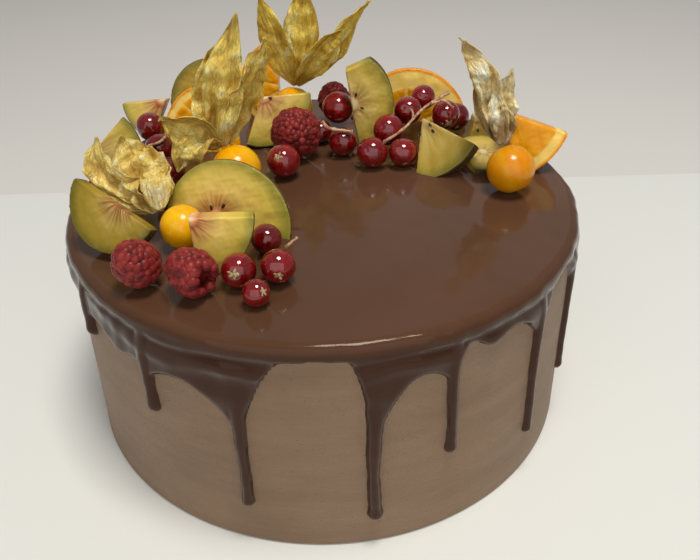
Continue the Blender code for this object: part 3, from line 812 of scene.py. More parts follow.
@dataclass(frozen=True)
class HuskPaper(Finish):
    """A physalis husk dried to thin, translucent paper: golden, with brown veins that run from
    the root to the tip and a net of finer ones between them. Its colour also carries painted
    light on fold ridges, painted shade in fold valleys and crinkle creases, and a browner neck
    that is partly its own brown and partly painted shade."""

    name: str = "dried_papery_husk"
    ribs: float = 5.0
    let_through: float = 0.22

    def build(self) -> Material:
        """Make the material.

        Returns:
            The material, a mix of a Principled surface and light let through.
        """
        made, add, place = self.start()
        spot, (_, side, _), (creamy, fold_shade, brown_and_shade) = self.fruit(add)
        warp = add(NOISE, {"Vector": place, "Scale": per_metre(6.0), "Detail": 4.0})
        across = add(MATH, [warp, 1.1, side], operation="MULTIPLY_ADD")
        rib = add(MATH, [across, self.ribs / 2.0], operation="MULTIPLY")
        rib = add(MATH, [rib, 0.5], operation="PINGPONG")
        rib = add(RANGE, {"Value": rib, "From Max": 0.06, "To Min": 0.8, "To Max": 0.0})
        warped = add(VECTOR, [spot, (9.0, 3.2, 90.0)], operation="MULTIPLY")
        stray = add(NOISE, {"Vector": place, "Scale": per_metre(3.0)}, out="Color")
        warped = add(VECTOR, [warped, stray], operation="ADD")
        net = add("ShaderNodeTexVoronoi", {"Vector": warped, "Scale": 1.0}, feature="DISTANCE_TO_EDGE")
        net = add(RANGE, {"Value": net, "From Max": 0.10, "To Min": 0.42, "To Max": 0.0})
        vein = add(MATH, [rib, net], operation="MAXIMUM")
        # Painted light and shade: the paper is coloured lighter on fold ridges and darker in fold valleys,
        # besides its random tone.
        fold = add(MATH, [fold_shade, 0.13, warp], operation="MULTIPLY_ADD")
        gold = set_stops(add(RAMP, {"Fac": fold}),
                         [(0.25, "#D8B244"), (0.46, "#F8D65A"), (0.60, "#FFE66C"), (0.75, "#FFF4A8")])
        cream = set_stops(add(RAMP, {"Fac": fold}),
                          [(0.25, "#D6B678"), (0.46, "#F6DEA0"), (0.60, "#FFEEBC"), (0.75, "#FFFADC")])
        paper = add(MIX, {0: creamy, 6: gold, 7: cream}, **COLOURS)
        # Browner towards the root: partly the paper's own brown, partly painted shade where the lobes
        # meet.
        paper = add(MIX, {0: brown_and_shade, 6: paper, 7: linear("#8A5A2A")}, **COLOURS)
        fibre = add(VECTOR, [warped, (0.55, 1.1, 1.0)], operation="MULTIPLY")
        fine = add(NOISE, {"Vector": fibre, "Scale": 1.0, "Detail": 3.0, "Roughness": 0.45})
        crinkle = add(MATH, [fine, 0.5], operation="SUBTRACT")
        crinkle = add(MATH, [crinkle], operation="ABSOLUTE")
        # Dark lines at the crinkle creases: partly fine veins, partly painted shade in the creases.
        line = add(RANGE, {"Value": crinkle, "From Max": 0.016, "To Min": 0.5, "To Max": 0.0})
        vein_and_crease_shade = add(MATH, [vein, 0.6], operation="MULTIPLY")
        vein_and_crease_shade = add(MATH, [vein_and_crease_shade, line], operation="MAXIMUM")
        colour = add(MIX, {0: vein_and_crease_shade, 6: paper, 7: linear("#7A5A20")}, **COLOURS)
        height = add(MATH, [vein, 0.10, crinkle], operation="MULTIPLY_ADD")
        bump = add("ShaderNodeBump", {"Height": height, "Strength": 1.0, "Distance": 1.5 * MM})
        self.end(made, {"Base Color": colour, "Normal": bump, "Roughness": 0.27, "IOR": 1.46})
        glow = add("ShaderNodeBsdfTranslucent", {"Color": colour, "Normal": bump})
        surface = made.node_tree.nodes["Principled BSDF"].outputs[0]
        mix = add("ShaderNodeMixShader", [self.let_through, surface, glow])
        feed(made.node_tree.nodes["Material Output"], {"Surface": mix})
        return made


@dataclass(frozen=True)
class DryStem(Finish):
    """A currant's stalk or dead flower: dry plant fibre, matte, streaked from tan to brown."""

    name: str = "dry_currant_stem"
    dark: str = "#7A4C34"
    base: str = "#B98A68"
    light: str = "#D8B892"
    streak_mm: float = 1.6

    def build(self) -> Material:
        """Make the material.

        Returns:
            The material.
        """
        made, add, place = self.start()
        cloud = add(NOISE, {"Vector": place, "Scale": per_metre(self.streak_mm), "Detail": 4.0,
                            "Roughness": 0.6})
        tone = set_stops(add(RAMP, {"Fac": cloud}),
                         [(0.34, self.dark), (0.50, self.base), (0.66, self.light)])
        bump = add("ShaderNodeBump", {"Height": cloud, "Strength": 0.6, "Distance": 0.15 * MM})
        return self.end(made, {"Base Color": tone, "Normal": bump, "Roughness": 0.55, "IOR": 1.45})


@dataclass(frozen=True)
class SeedCoat(Finish):
    """Kiwi seeds: hard black-brown coats, shiny where juice wets them."""

    name: str = "wet_kiwi_seed"

    def build(self) -> Material:
        """Make the material.

        Returns:
            The material.
        """
        made, add, place = self.start()
        cloud = add(NOISE, {"Vector": place, "Scale": per_metre(1.0)})
        tone = set_stops(add(RAMP, {"Fac": cloud}), [(0.4, "#15100C"), (0.65, "#33241A")])
        return self.end(made, {"Base Color": tone, "Roughness": 0.25, "IOR": 1.5})


@dataclass
class Studio:
    """The camera at the photograph's angle, a pale table with a grey wall of light behind it, and
    soft light from a large lamp overhead, a dim one in front and a bright wall behind."""

    eye: Place = (0.0, -0.26044, 0.226)
    pitch: float = 34.89
    yaw: float = 2.18
    roll: float = -0.75
    focal_px: float = 737.0
    frame_px: int = 700
    table_back: float = 0.174
    table: str = "#EBEBE4"
    backdrop: str = "#E4E0D9"
    world: str = "#F2F4F7"
    world_strength: float = 0.26
    sensor_mm: float = 36.0
    lamps_aim: Place = (0.0, 0.0, 0.06)
    lamps: tuple = (
        ("overhead", (0.12, -0.16, 1.06), 0.29, 0.29, 7.2, "#FFFBF5"),
        ("front_fill", (-0.10, -1.30, 0.75), 2.60, 1.50, 10.0, "#FFFFFF"),
        ("back_wall", (0.0, 1.90, 1.45), 2.40, 1.50, 2.5, "#FFFFFF"),
    )

    def build(self) -> None:
        """Make the camera, the table, the backdrop, the lamps and the world."""
        self.build_camera()
        self.build_ground("table", self.table, (-1.6, -1.6), (1.6, self.table_back), 0.0)
        self.build_ground("backdrop", self.backdrop, (-3.0, self.table_back - 0.01), (3.0, 4.0), -0.0005)
        for name, spot, width, height, power, tint in self.lamps:
            lamp = bpy.data.lights.new(name, "AREA")
            lamp.shape = "RECTANGLE"
            lamp.size, lamp.size_y = width, height
            lamp.energy = power
            lamp.color = linear(tint)[:3]
            holder = show(name, lamp)
            holder.location = spot
            aim = Vector(self.lamps_aim) - Vector(spot)
            holder.rotation_euler = aim.to_track_quat("-Z", "Y").to_euler()
        world = bpy.data.worlds.new("studio")
        world.use_nodes = True
        feed(world.node_tree.nodes["Background"],
             {"Color": linear(self.world), "Strength": self.world_strength})
        bpy.context.scene.world = world
        bpy.context.scene.view_settings.view_transform = "Standard"

    def build_camera(self) -> None:
        """Make the camera from its pitch, yaw and roll in degrees and its focal length in pixels."""
        pitch, yaw, roll = (math.radians(a) for a in (self.pitch, self.yaw, self.roll))
        ahead = Vector((math.sin(yaw) * math.cos(pitch), math.cos(yaw) * math.cos(pitch),
                        -math.sin(pitch)))
        right = Vector((math.cos(yaw), -math.sin(yaw), 0.0))
        up = right.cross(ahead)
        across = math.cos(roll) * right + math.sin(roll) * up
        upward = math.cos(roll) * up - math.sin(roll) * right
        lens = bpy.data.cameras.new("camera")
        lens.sensor_width = self.sensor_mm
        lens.lens = self.sensor_mm * self.focal_px / self.frame_px
        lens.clip_start = 0.01
        camera = show("camera", lens)
        turn = Matrix((across, upward, -ahead)).transposed().to_4x4()
        camera.matrix_world = Matrix.Translation(self.eye) @ turn
        bpy.context.scene.camera = camera

    def build_ground(self, name: str, colour: str, low: Pair, high: Pair,
                     height: float) -> None:
        """Make a level sheet of matte paper.

        Args:
            name: its name.
            colour: its hex colour.
            low: its near left corner, in metres.
            high: its far right corner.
            height: its height.
        """
        mesh = bpy.data.meshes.new(name)
        mesh.from_pydata([(low[0], low[1], height), (high[0], low[1], height), (high[0], high[1], height),
                          (low[0], high[1], height)], [], [(0, 1, 2, 3)])
        paper = Finish("matte_paper_" + name)
        made, _, _ = paper.start()
        mesh.materials.append(paper.end(made, {"Base Color": linear(colour), "Roughness": 0.6}))
        show(name, mesh)


@dataclass
class CakeBody:
    """The buttercream drum: a turned profile, smoothed level by a scraper that left faint waves."""

    base_radius: float = 100.0
    shoulder_radius: float = 96.8
    height: float = 85.7
    foot_round: float = 1.2
    shoulder_round: float = 1.5
    columns: int = 720
    wall_rows: int = 84
    wave_mm: float = 0.28
    scrape_mm: float = 0.14
    wave_long: float = 26.0
    scrape_long: float = 5.0
    foot_calm: float = 3.0
    seed: float = 3.0

    def wall(self, height: float | Array) -> float | Array:
        """Return the wall's radius at a height."""
        return self.base_radius + (self.shoulder_radius - self.base_radius) * height / self.height

    def profile(self) -> list[Pair]:
        """Draw the drum's outline.

        Returns:
            (radius, height) points from the top's middle, down the wall, to the foot's middle.
        """
        points = [(r, self.height) for r in np.linspace(0.0, self.shoulder_radius - 6.0, 12)]
        for a in np.radians(np.linspace(90.0, 0.0, 6)):
            points.append((self.shoulder_radius + self.shoulder_round * (math.cos(a) - 1.0),
                           self.height + self.shoulder_round * (math.sin(a) - 1.0)))
        for z in np.linspace(self.height - self.shoulder_round, self.foot_round, self.wall_rows)[1:-1]:
            points.append((self.wall(z), z))
        for a in np.radians(np.linspace(0.0, -90.0, 6)):
            points.append((self.base_radius + self.foot_round * (math.cos(a) - 1.0),
                           self.foot_round * (1.0 + math.sin(a))))
        points += [(r, 0.0) for r in np.linspace(self.base_radius - 8.0, 0.0, 10)]
        return points

    def turning(self, paint: Material) -> NodeTree:
        """Make the geometry tree that turns a profile round Z and waves its wall.

        Args:
            paint: the buttercream.

        Returns:
            The tree.
        """
        add, given = new_tree("turned_drum", {"Columns": self.columns, "Wave": self.wave_mm * MM,
                                              "Scrape": self.scrape_mm * MM, "Seed": self.seed,
                                              "Foot": self.foot_calm * MM})
        count = add("GeometryNodeAttributeDomainSize", [given["Geometry"]])
        across = add(MATH, [given["Columns"], 1.0], operation="ADD")
        grid = add("GeometryNodeMeshGrid", {"Vertices X": across, "Vertices Y": count})
        index = add("GeometryNodeInputIndex")
        row = add(MATH, [index, count], operation="MODULO")
        column = add(MATH, [index, count], operation="DIVIDE")
        column = add(MATH, [column], operation="FLOOR")
        turn = add(MATH, [column, given["Columns"]], operation="DIVIDE")
        turn = add(MATH, [turn, 2.0 * math.pi], operation="MULTIPLY")
        spot = add("GeometryNodeSampleIndex",
                   {"Geometry": given["Geometry"], "Index": row,
                    "Value": add("GeometryNodeInputPosition")}, data_type="FLOAT_VECTOR")
        radius, _, height = add("ShaderNodeSeparateXYZ", [spot]).node.outputs
        way = add("ShaderNodeCombineXYZ", {"X": add(MATH, [turn], operation="COSINE"),
                                           "Y": add(MATH, [turn], operation="SINE")})
        flat = add(VECTOR, {0: way, "Scale": radius}, operation="SCALE")
        place = add(VECTOR, [flat, add("ShaderNodeCombineXYZ", {"Z": height})], operation="ADD")
        drawn = add(VECTOR, [place, (0.10, 0.10, 1.0)], operation="MULTIPLY")
        pushes = []
        for spots, size_mm, detail, name in ((place, self.wave_long, 2.0, "Wave"),
                                             (drawn, self.scrape_long, 3.0, "Scrape")):
            waves = add(NOISE, {"Vector": spots, "W": given["Seed"], "Scale": per_metre(size_mm),
                                "Detail": detail}, noise_dimensions="4D")
            waves = add(MATH, [waves, 0.5], operation="SUBTRACT")
            pushes.append(add(MATH, [waves, given[name]], operation="MULTIPLY"))
        both = add(MATH, [pushes[0], pushes[1]], operation="ADD")
        both = add(MATH, [both, 2.0], operation="MULTIPLY")
        fade = add(RANGE, {"Value": height, "From Max": given["Foot"]})
        both = add(MATH, [both, fade], operation="MULTIPLY")
        push = add(VECTOR, {0: way, "Scale": both}, operation="SCALE")
        moved = add("GeometryNodeSetPosition",
                    {"Geometry": grid, "Position": add(VECTOR, [place, push], operation="ADD")})
        merged = add("GeometryNodeMergeByDistance", {"Geometry": moved, "Distance": 0.01 * MM})
        return end_tree(merged, paint)

    def build(self) -> None:
        """Make the drum and dress it."""
        paint = Buttercream().build()
        line = mesh_from("profile", np.array([(r, 0.0, z) for r, z in self.profile()]), [])
        mesh = face_outwards(grow(self.turning(paint), line, {"Columns": self.columns, "Seed": self.seed}))
        dress("buttercream_drum", mesh, [paint], "buttercream", "cake_body")


@dataclass(frozen=True)
class Drip:
    """One drip: the angle where it hangs, its tip's height, its width, and where it leaves the skirt."""

    angle: float
    tip: float
    width: float
    root: float


DRIPS = (
    Drip(-148.0, 61.0, 5.0, 70.0), Drip(-127.0, 48.5, 4.8, 64.0), Drip(-107.3, 18.0, 4.4, 51.0),
    Drip(-82.2, 12.5, 5.0, 48.5), Drip(-66.6, 35.5, 4.2, 66.0), Drip(-43.5, 20.0, 4.2, 66.0),
    Drip(-22.5, 24.0, 4.2, 66.0), Drip(-3.0, 44.0, 4.6, 67.0), Drip(19.0, 16.0, 4.6, 58.0),
    Drip(38.0, 37.0, 4.2, 68.0), Drip(60.0, 24.0, 4.6, 60.0), Drip(79.0, 50.0, 4.8, 66.0),
    Drip(101.0, 14.0, 4.6, 56.0), Drip(122.0, 33.0, 4.2, 67.0), Drip(141.0, 20.0, 4.6, 60.0),
    Drip(163.0, 42.0, 4.6, 64.0), Drip(186.0, 27.0, 4.4, 62.0),
)

# Between drips: angle and height of the skirt's edge where it is highest or sags without a drip
SKIRT_MIDS = (
    (-142.5, 71.5), (-134.0, 67.0), (-130.5, 68.5), (-119.0, 68.5), (-97.5, 82.5), (-93.0, 83.5),
    (-87.5, 82.8), (-72.5, 73.0), (-63.0, 80.0), (-58.5, 76.0), (-53.0, 78.0), (-33.0, 84.0),
    (-12.0, 78.0), (8.0, 74.0), (29.0, 80.0), (50.0, 76.0), (70.0, 74.0), (90.0, 81.0),
    (112.0, 75.0), (132.0, 78.0), (152.0, 73.0), (175.0, 76.0), (201.0, 74.0),
)


@dataclass(frozen=True)
class Seat:
    """A named place for a piece on the cake."""

    name: str
    x: float
    y: float
    rise: float

    def facing_frame(self, facing: Pair) -> Matrix:
        """Return the matrix from a frame whose Z faces that way to the cake's, in metres."""
        return Matrix.Translation(at(self.x, self.y, self.rise)) @ face_frame(*facing)


@dataclass
class GlazeWall:
    """The glaze's wall: its outer and inner points, which of its quads have glaze, and its lip."""

    outer: Array
    inner: Array
    glazed: Array
    lip_ways: Array
    lip_waves: Array


@dataclass
class Ganache:
    """The poured glaze: a level top, a rounded lip, a skirt with webs and drips that end in beads.

    Its wall is a grid of columns round the cake and rows down it, pushed out from the buttercream
    by the glaze's thickness. Where there is no glaze the grid dives under the buttercream and its
    quads are left out; an inner wall closes the skin. Seen from above, the glaze creeps a little
    up the fruit that stands in it.
    """

    body: CakeBody
    lip_radius: float = 98.4
    lip_round: float = 4.0
    lip_wave: float = 0.22
    lip_ripple: float = 0.14
    top_drop: float = 0.15
    drip_radius: float = 98.5
    skirt: float = 1.65
    edge_round: float = 2.3
    flatness: float = 0.46
    groove_at: float = 81.6
    bulge_at: float = 77.2
    columns: int = 656
    row_step: float = 0.80
    low_row_step: float = 0.76
    low_rows_from: float = 60.0
    lowest: float = 9.0
    sunk: float = -0.7
    inner: float = -1.2
    floor: float = 2.5
    ring_step: float = 1.15
    creep: float = 0.7
    creep_reach: float = 1.3
    fruits: tuple[str, ...] = ()

    def edge(self, angles: Array) -> Array:
        """Draw the skirt's edge.

        Args:
            angles: where, in degrees.

        Returns:
            Its height at each angle.
        """
        stations = sorted([(drip.angle % 360.0, drip.root, True) for drip in DRIPS]
                          + [(angle % 360.0, height, False) for angle, height in SKIRT_MIDS])
        stations = [(stations[-1][0] - 360.0, *stations[-1][1:]), *stations,
                    (stations[0][0] + 360.0, *stations[0][1:])]
        angles = np.asarray(angles) % 360.0
        heights = np.zeros_like(angles)
        for (a0, z0, root0), (a1, z1, root1) in zip(stations, stations[1:]):
            here = (angles >= a0) & (angles <= a1)
            t = (angles[here] - a0) / (a1 - a0)
            if root0 and not root1:
                heights[here] = z1 + (z0 - z1) * (1.0 - t) ** 2
            elif root1 and not root0:
                heights[here] = z0 + (z1 - z0) * t ** 2
            else:
                heights[here] = z0 + (z1 - z0) * (0.5 - 0.5 * np.cos(math.pi * t))
        return heights

    def column_angles(self) -> Array:
        """Space the wall's columns, closer together across each drip.

        Returns:
            Their angles in degrees.
        """
        fine = np.linspace(0.0, 360.0, 36001)
        density = np.full(fine.shape, 1.0)
        for drip in DRIPS:
            reach = math.degrees((drip.width / 2.0 + 1.6) / self.lip_radius)
            density += 2.6 / (1.0 + np.exp((np.abs(turned(fine, drip.angle)) - reach) / 0.25))
        total = np.concatenate([[0.0], np.cumsum(density[1:])])
        return np.interp(np.arange(self.columns) / self.columns * total[-1], total, fine)

    def arc(self) -> float:
        """Return how many millimetres a degree is along the glaze."""
        return math.radians(1.0) * self.drip_radius

    def smooth_max(self, a: Array, b: Array, blend: float) -> Array:
        """Return the larger of two thicknesses, with a rounded join."""
        return 0.5 * (a + b + np.sqrt((a - b) ** 2 + blend ** 2))

    def crown(self, depth: Array) -> Array:
        """Return 0 at the skirt's edge and 1 well inside it, rounded like a quarter circle."""
        return np.sqrt(1.0 - (1.0 - climb(depth, 0.0, self.edge_round)) ** 2)

    def dive(self, depth: Array) -> Array:
        """Return how the surface falls under the buttercream at a depth below zero, outside an edge."""
        return 0.9 * np.maximum(depth, -1.7)

    def spread(self, number: int, heights: Array) -> tuple[Array, Array, Array]:
        """Work out a drip's outline.

        Args:
            number: the drip's place in DRIPS.
            heights: the heights where it is wanted.

        Returns:
            The drip's half width there, how far it sways aside, and 0 to 1 down its bead.
        """
        drip = DRIPS[number]
        half = drip.width / 2.0
        bead = drip.tip + 1.3 * half
        knots = [drip.tip - 1.0, bead, bead + 1.6 * half, (drip.root + bead) / 2.0, drip.root - half,
                 drip.root + 8.0, drip.root + 20.0]
        width = np.interp(heights, knots, half * np.array([1.10, 1.12, 0.90, 0.84, 0.98, 1.12, 1.2]))
        end = climb(heights, bead, drip.tip - bead)
        swell = 0.05 * np.sin(heights * 0.35 + number * 1.7) + 0.03 * np.sin(heights * 0.8 + number)
        width = width + half * swell * (end == 0.0)
        return width, 0.3 * np.sin(heights * 0.13 + number * 2.1), end

    def follow(self, angles: Array, heights: Array) -> Array:
        """Draw the columns aside, so that they run along each drip's edges.

        Args:
            angles: the columns' angles in degrees.
            heights: the heights that each column passes.

        Returns:
            The angle of each column at each height.
        """
        arc = self.arc()
        for number, drip in enumerate(DRIPS):
            half = drip.width / 2.0
            off = turned(angles, drip.angle) * arc
            width, sway, end = self.spread(number, heights)
            share = np.clip(width / half * np.sqrt(1.0 - end ** 2), 0.3, 1.5)
            near = eased(climb(np.abs(off), half + 7.0, -5.0)) * climb(heights, drip.root + 20.0, -10.0)
            angles = angles + near * (off * (share - 1.0) + sway) / arc
        return angles

    def thickness(self, angles: Array, heights: Array) -> Array:
        """Work out the glaze's wall.

        Args:
            angles: the angles in degrees.
            heights: the height at each angle.

        Returns:
            How far the glaze stands proud of the buttercream, below zero where there is none.
        """
        arc = self.arc()
        slope = (self.edge(angles + 0.2) - self.edge(angles - 0.2)) / (0.4 * arc)
        depth = (heights - self.edge(angles)) / np.sqrt(1.0 + slope ** 2)
        flow = np.concatenate([self.drip_radius * ways(angles), heights[..., None]], axis=-1)
        streak = ripple(flow.reshape(-1, 3), 11, 9.0, (1.0, 1.0, 4.0)).reshape(heights.shape)
        lump = ripple(flow.reshape(-1, 3), 12, 17.0, (1.6, 1.6, 0.8)).reshape(heights.shape)
        level = ripple((flow * (1.0, 1.0, 0.0)).reshape(-1, 3), 13, 42.0).reshape(heights.shape)
        groove = np.exp(-((heights - self.groove_at - 1.1 * level) / 1.3) ** 2) * (0.55 + 0.2 * lump)
        bulge = np.exp(-((heights - self.bulge_at - 1.6 * level) / 2.4) ** 2) * (0.55 + 0.25 * lump)
        body = self.skirt + 0.10 * streak + 0.26 * lump - groove + bulge
        shape = np.where(depth > 0.0, body * self.crown(depth), self.dive(depth))
        for number, drip in enumerate(DRIPS):
            half = drip.width / 2.0
            width, sway, end = self.spread(number, heights)
            round_end = np.sqrt(np.maximum(1.0 - end ** 2, 1e-4))
            width = width * round_end
            off = turned(angles, drip.angle) * arc - sway
            proud = (0.3 + 1.3 * half * self.flatness + self.flatness * width) * round_end
            fading = [drip.root - half, drip.root + 8.0, drip.root + 20.0, drip.root + 26.0]
            proud *= np.interp(heights, fading, [1.0, 0.9, 0.45, 0.0])
            inside = 1.0 - (off / np.maximum(width, 0.05)) ** 2
            away = np.minimum(width - np.abs(off), 0.0) + np.minimum(heights - drip.tip, 0.0)
            drop = np.where((inside > 0.0) & (heights > drip.tip),
                            proud * np.sqrt(np.maximum(inside, 0.0)), self.dive(away))
            drop = np.where(heights > drip.root + 24.0, -1.6, drop)
            shape = np.where(np.abs(off) < 12.0, self.smooth_max(shape, drop, 0.8) - 0.15, shape)
        return shape

    def contacts(self) -> KDTree:
        """Find where fruit stands in the glaze.

        Returns:
            Points every half millimetre along the low edges of that fruit.
        """
        spots = []
        for name in self.fruits:
            mesh = bpy.data.objects[name].data
            points = points_of(mesh)
            low = points[:, 2] < TOP + 1.2
            for edge in mesh.edges:
                a, b = edge.vertices
                if low[a] and low[b]:
                    steps = max(1, round(float(np.linalg.norm(points[a] - points[b])) / 0.5))
                    spots += [points[a] + (points[b] - points[a]) * s / steps for s in range(steps + 1)]
        tree = KDTree(len(spots))
        for number, spot in enumerate(spots):
            tree.insert((spot[0], spot[1], 0.0), number)
        tree.balance()
        return tree

    def level(self, spots: Array) -> Array:
        """Shape the top: faint flow waves, and a rise round each fruit.

        Args:
            spots: (n, 2) places on the top.

        Returns:
            The top's height at each.
        """
        flat = np.column_stack([spots, np.zeros(len(spots))])
        reach = np.linalg.norm(spots, axis=1)
        waves = 0.09 * ripple(flat, 21, 34.0) + 0.03 * ripple(flat, 22, 11.0)
        tree = self.contacts()
        gap = np.array([tree.find((x, y, 0.0))[2] for x, y in spots])
        creep = self.creep * np.exp(-(np.maximum(gap - 0.4, 0.0) / self.creep_reach) ** 1.3)
        return TOP - self.top_drop + waves * climb(reach, self.lip_radius, -6.0) + creep

    def wall(self) -> GlazeWall:
        """Lay out the wall below the lip.

        Returns:
            Its grid of places.
        """
        angles = self.column_angles()
        high = np.arange(TOP - self.lip_round, self.low_rows_from, -self.row_step)
        low = np.arange(high[-1] - self.low_row_step, self.lowest, -self.low_row_step)
        a, z = np.meshgrid(angles, np.concatenate([high, low]))
        a = self.follow(a, z)
        circle = np.column_stack([self.lip_radius * ways(angles), np.zeros(self.columns)])
        waves = self.lip_wave * ripple(circle, 31, 30.0) + self.lip_ripple * ripple(circle, 32, 12.0)
        lip_gap = self.lip_radius + waves - self.body.wall(TOP - self.lip_round)
        thick = lip_gap + (self.thickness(a, z) - lip_gap) * eased(climb(z, TOP - self.lip_round, -3.0))
        bare = thick < self.sunk
        right = np.roll(bare, -1, axis=1)
        outer, inner = (
            np.concatenate([ways(a) * (self.body.wall(z) + out)[..., None], z[..., None]], axis=-1)
            for out in (np.maximum(thick, self.sunk - 0.3), self.inner))
        return GlazeWall(outer.reshape(-1, 3), inner.reshape(-1, 3),
                         ~(bare[:-1] & bare[1:] & right[:-1] & right[1:]), ways(a[0]), waves[:, None])

    def wall_faces(self, glazed: Array, size: int) -> list[tuple[int, ...]]:
        """Join up the wall.

        Args:
            glazed: which quads of the grid have glaze.
            size: how many points the outer wall has before the inner one's.

        Returns:
            The faces of both walls, and those that close the skin along the glaze's edges.
        """
        n = self.columns
        faces, edges = [], []
        for i, j in zip(*np.nonzero(glazed)):
            k = (j + 1) % n
            quad = (i * n + j, (i + 1) * n + j, (i + 1) * n + k, i * n + k)
            faces += [quad, tuple(size + v for v in reversed(quad))]
            edges += zip(quad, quad[1:] + quad[:1])
        known = set(edges)
        for p, q in edges:
            if (q, p) not in known and not (p < n and q < n):
                faces.append((q, p, size + p, size + q))
        return faces

    def build(self) -> None:
        """Make the glaze as one closed skin and dress it."""
        wall = self.wall()
        size = len(wall.outer)
        faces = self.wall_faces(wall.glazed, size)
        points = [wall.outer, wall.inner]
        count = 2 * size
        for inside in (False, True):
            ring = np.arange(self.columns) + (size if inside else 0)
            spread, wave = wall.lip_ways, wall.lip_waves
            for radius, height, halve, share in self.rings(inside):
                if halve:
                    spread, wave = spread[::2], wave[::2]
                spots = spread * (radius + share * wave)
                heights = np.full(len(spots), height) if height is not None else self.level(spots)
                fresh = np.arange(len(spots)) + count
                points.append(np.column_stack([spots, heights]))
                count += len(spots)
                faces += self.band(ring, fresh, inside)
                ring = fresh
            points.append(np.array([[0.0, 0.0, TOP - (self.floor if inside else self.top_drop)]]))
            for a, b in zip(ring, np.roll(ring, -1)):
                faces.append((b, a, count) if inside else (a, b, count))
            count += 1
        mesh = mesh_from("ganache_glaze", np.concatenate(points), faces)
        with editing(mesh) as bm:
            loose = [v for v in bm.verts if not v.link_faces]
            bmesh.ops.delete(bm, geom=loose, context="VERTS")
        dress("ganache_glaze", face_outwards(mesh), [GanacheGloss().build()], "ganache", "ganache")

    def rings(self, inside: bool) -> list[tuple[float, float | None, bool, float]]:
        """List the rings from the lip inwards.

        Args:
            inside: whether they are those of the skin's underside.

        Returns:
            Each ring's radius, its height where that is fixed, whether every other column ends
            there, and its share of the lip's waves.
        """
        if inside:
            wall = self.body.wall(TOP - self.lip_round) + self.inner
            return [(wall - 1.5, TOP - 3.0, False, 0.0),
                    *((wall - gap, TOP - self.floor, True, 0.0) for gap in (4.0, 10.0, 25.0, 50.0))]
        rings = []
        centre = self.lip_radius - self.lip_round
        for turn in np.radians(np.linspace(0.0, 90.0, 11)[1:]):
            drop = (1.0 - math.sin(turn)) * self.lip_round
            height = None if turn > 1.5 else TOP - self.top_drop - drop
            rings.append((centre + self.lip_round * math.cos(turn), height, False, 1.0))
        radius, count = centre - self.ring_step, self.columns
        while radius > 2.0:
            halve = 2.0 * math.pi * radius / count < 0.5 and count % 2 == 0
            if halve:
                count //= 2
            rings.append((radius, None, halve, max(0.0, 1.0 - (centre - radius) / 8.0)))
            radius -= self.ring_step
        return rings

    def band(self, ring: Array, fresh: Array, inside: bool) -> list[tuple[int, ...]]:
        """Join a ring to the next one in.

        Args:
            ring: the ring's point numbers.
            fresh: those of the next ring in, which has as many points or half.
            inside: whether the faces look down.

        Returns:
            The faces between them.
        """
        faces = []
        n, m = len(ring), len(fresh)
        for j in range(m):
            k = (j + 1) % m
            if n == m:
                faces.append((ring[j], ring[k], fresh[k], fresh[j]))
            else:
                a, b, c = ring[2 * j], ring[2 * j + 1], ring[(2 * j + 2) % n]
                faces += [(a, b, fresh[j]), (b, c, fresh[k]), (b, fresh[k], fresh[j])]
        return [tuple(reversed(f)) for f in faces] if inside else faces


@dataclass(frozen=True)
class Slice(Seat):
    """Part of a round fruit slice, placed by the centre of its front face.

    facing is the front face's azimuth and elevation. turn is where the kept sector starts,
    counted anticlockwise from the viewer's right, and sweep is how far it goes. stretch is the
    width over the height, trim the direction and distance of a straight cut, and taper the back
    face's size over the front's. core is where the fruit's middle shows, spread how much of its
    angle the pattern keeps, and tone what the finish reads: for kiwi the halo's strength and how
    far the flesh is darkened to olive, partly its own tint and partly painted shade; for orange
    where the pith starts and how far painted shade darkens the flesh to olive.
    """

    facing: Pair
    turn: float
    sweep: float
    radius: float
    thickness: float
    stretch: float = 1.0
    trim: tuple[float, ...] = ()
    taper: float = 0.97
    core: Pair = (0.0, 0.0)
    tone: Pair = (0.0, 0.0)
    seeds: tuple[Pair, ...] = ()
    phase: float = 0.3
    spread: float = 1.0

    def place(self) -> Matrix:
        """Return the matrix from the slice's own frame to the cake's, in metres."""
        return self.facing_frame(self.facing)


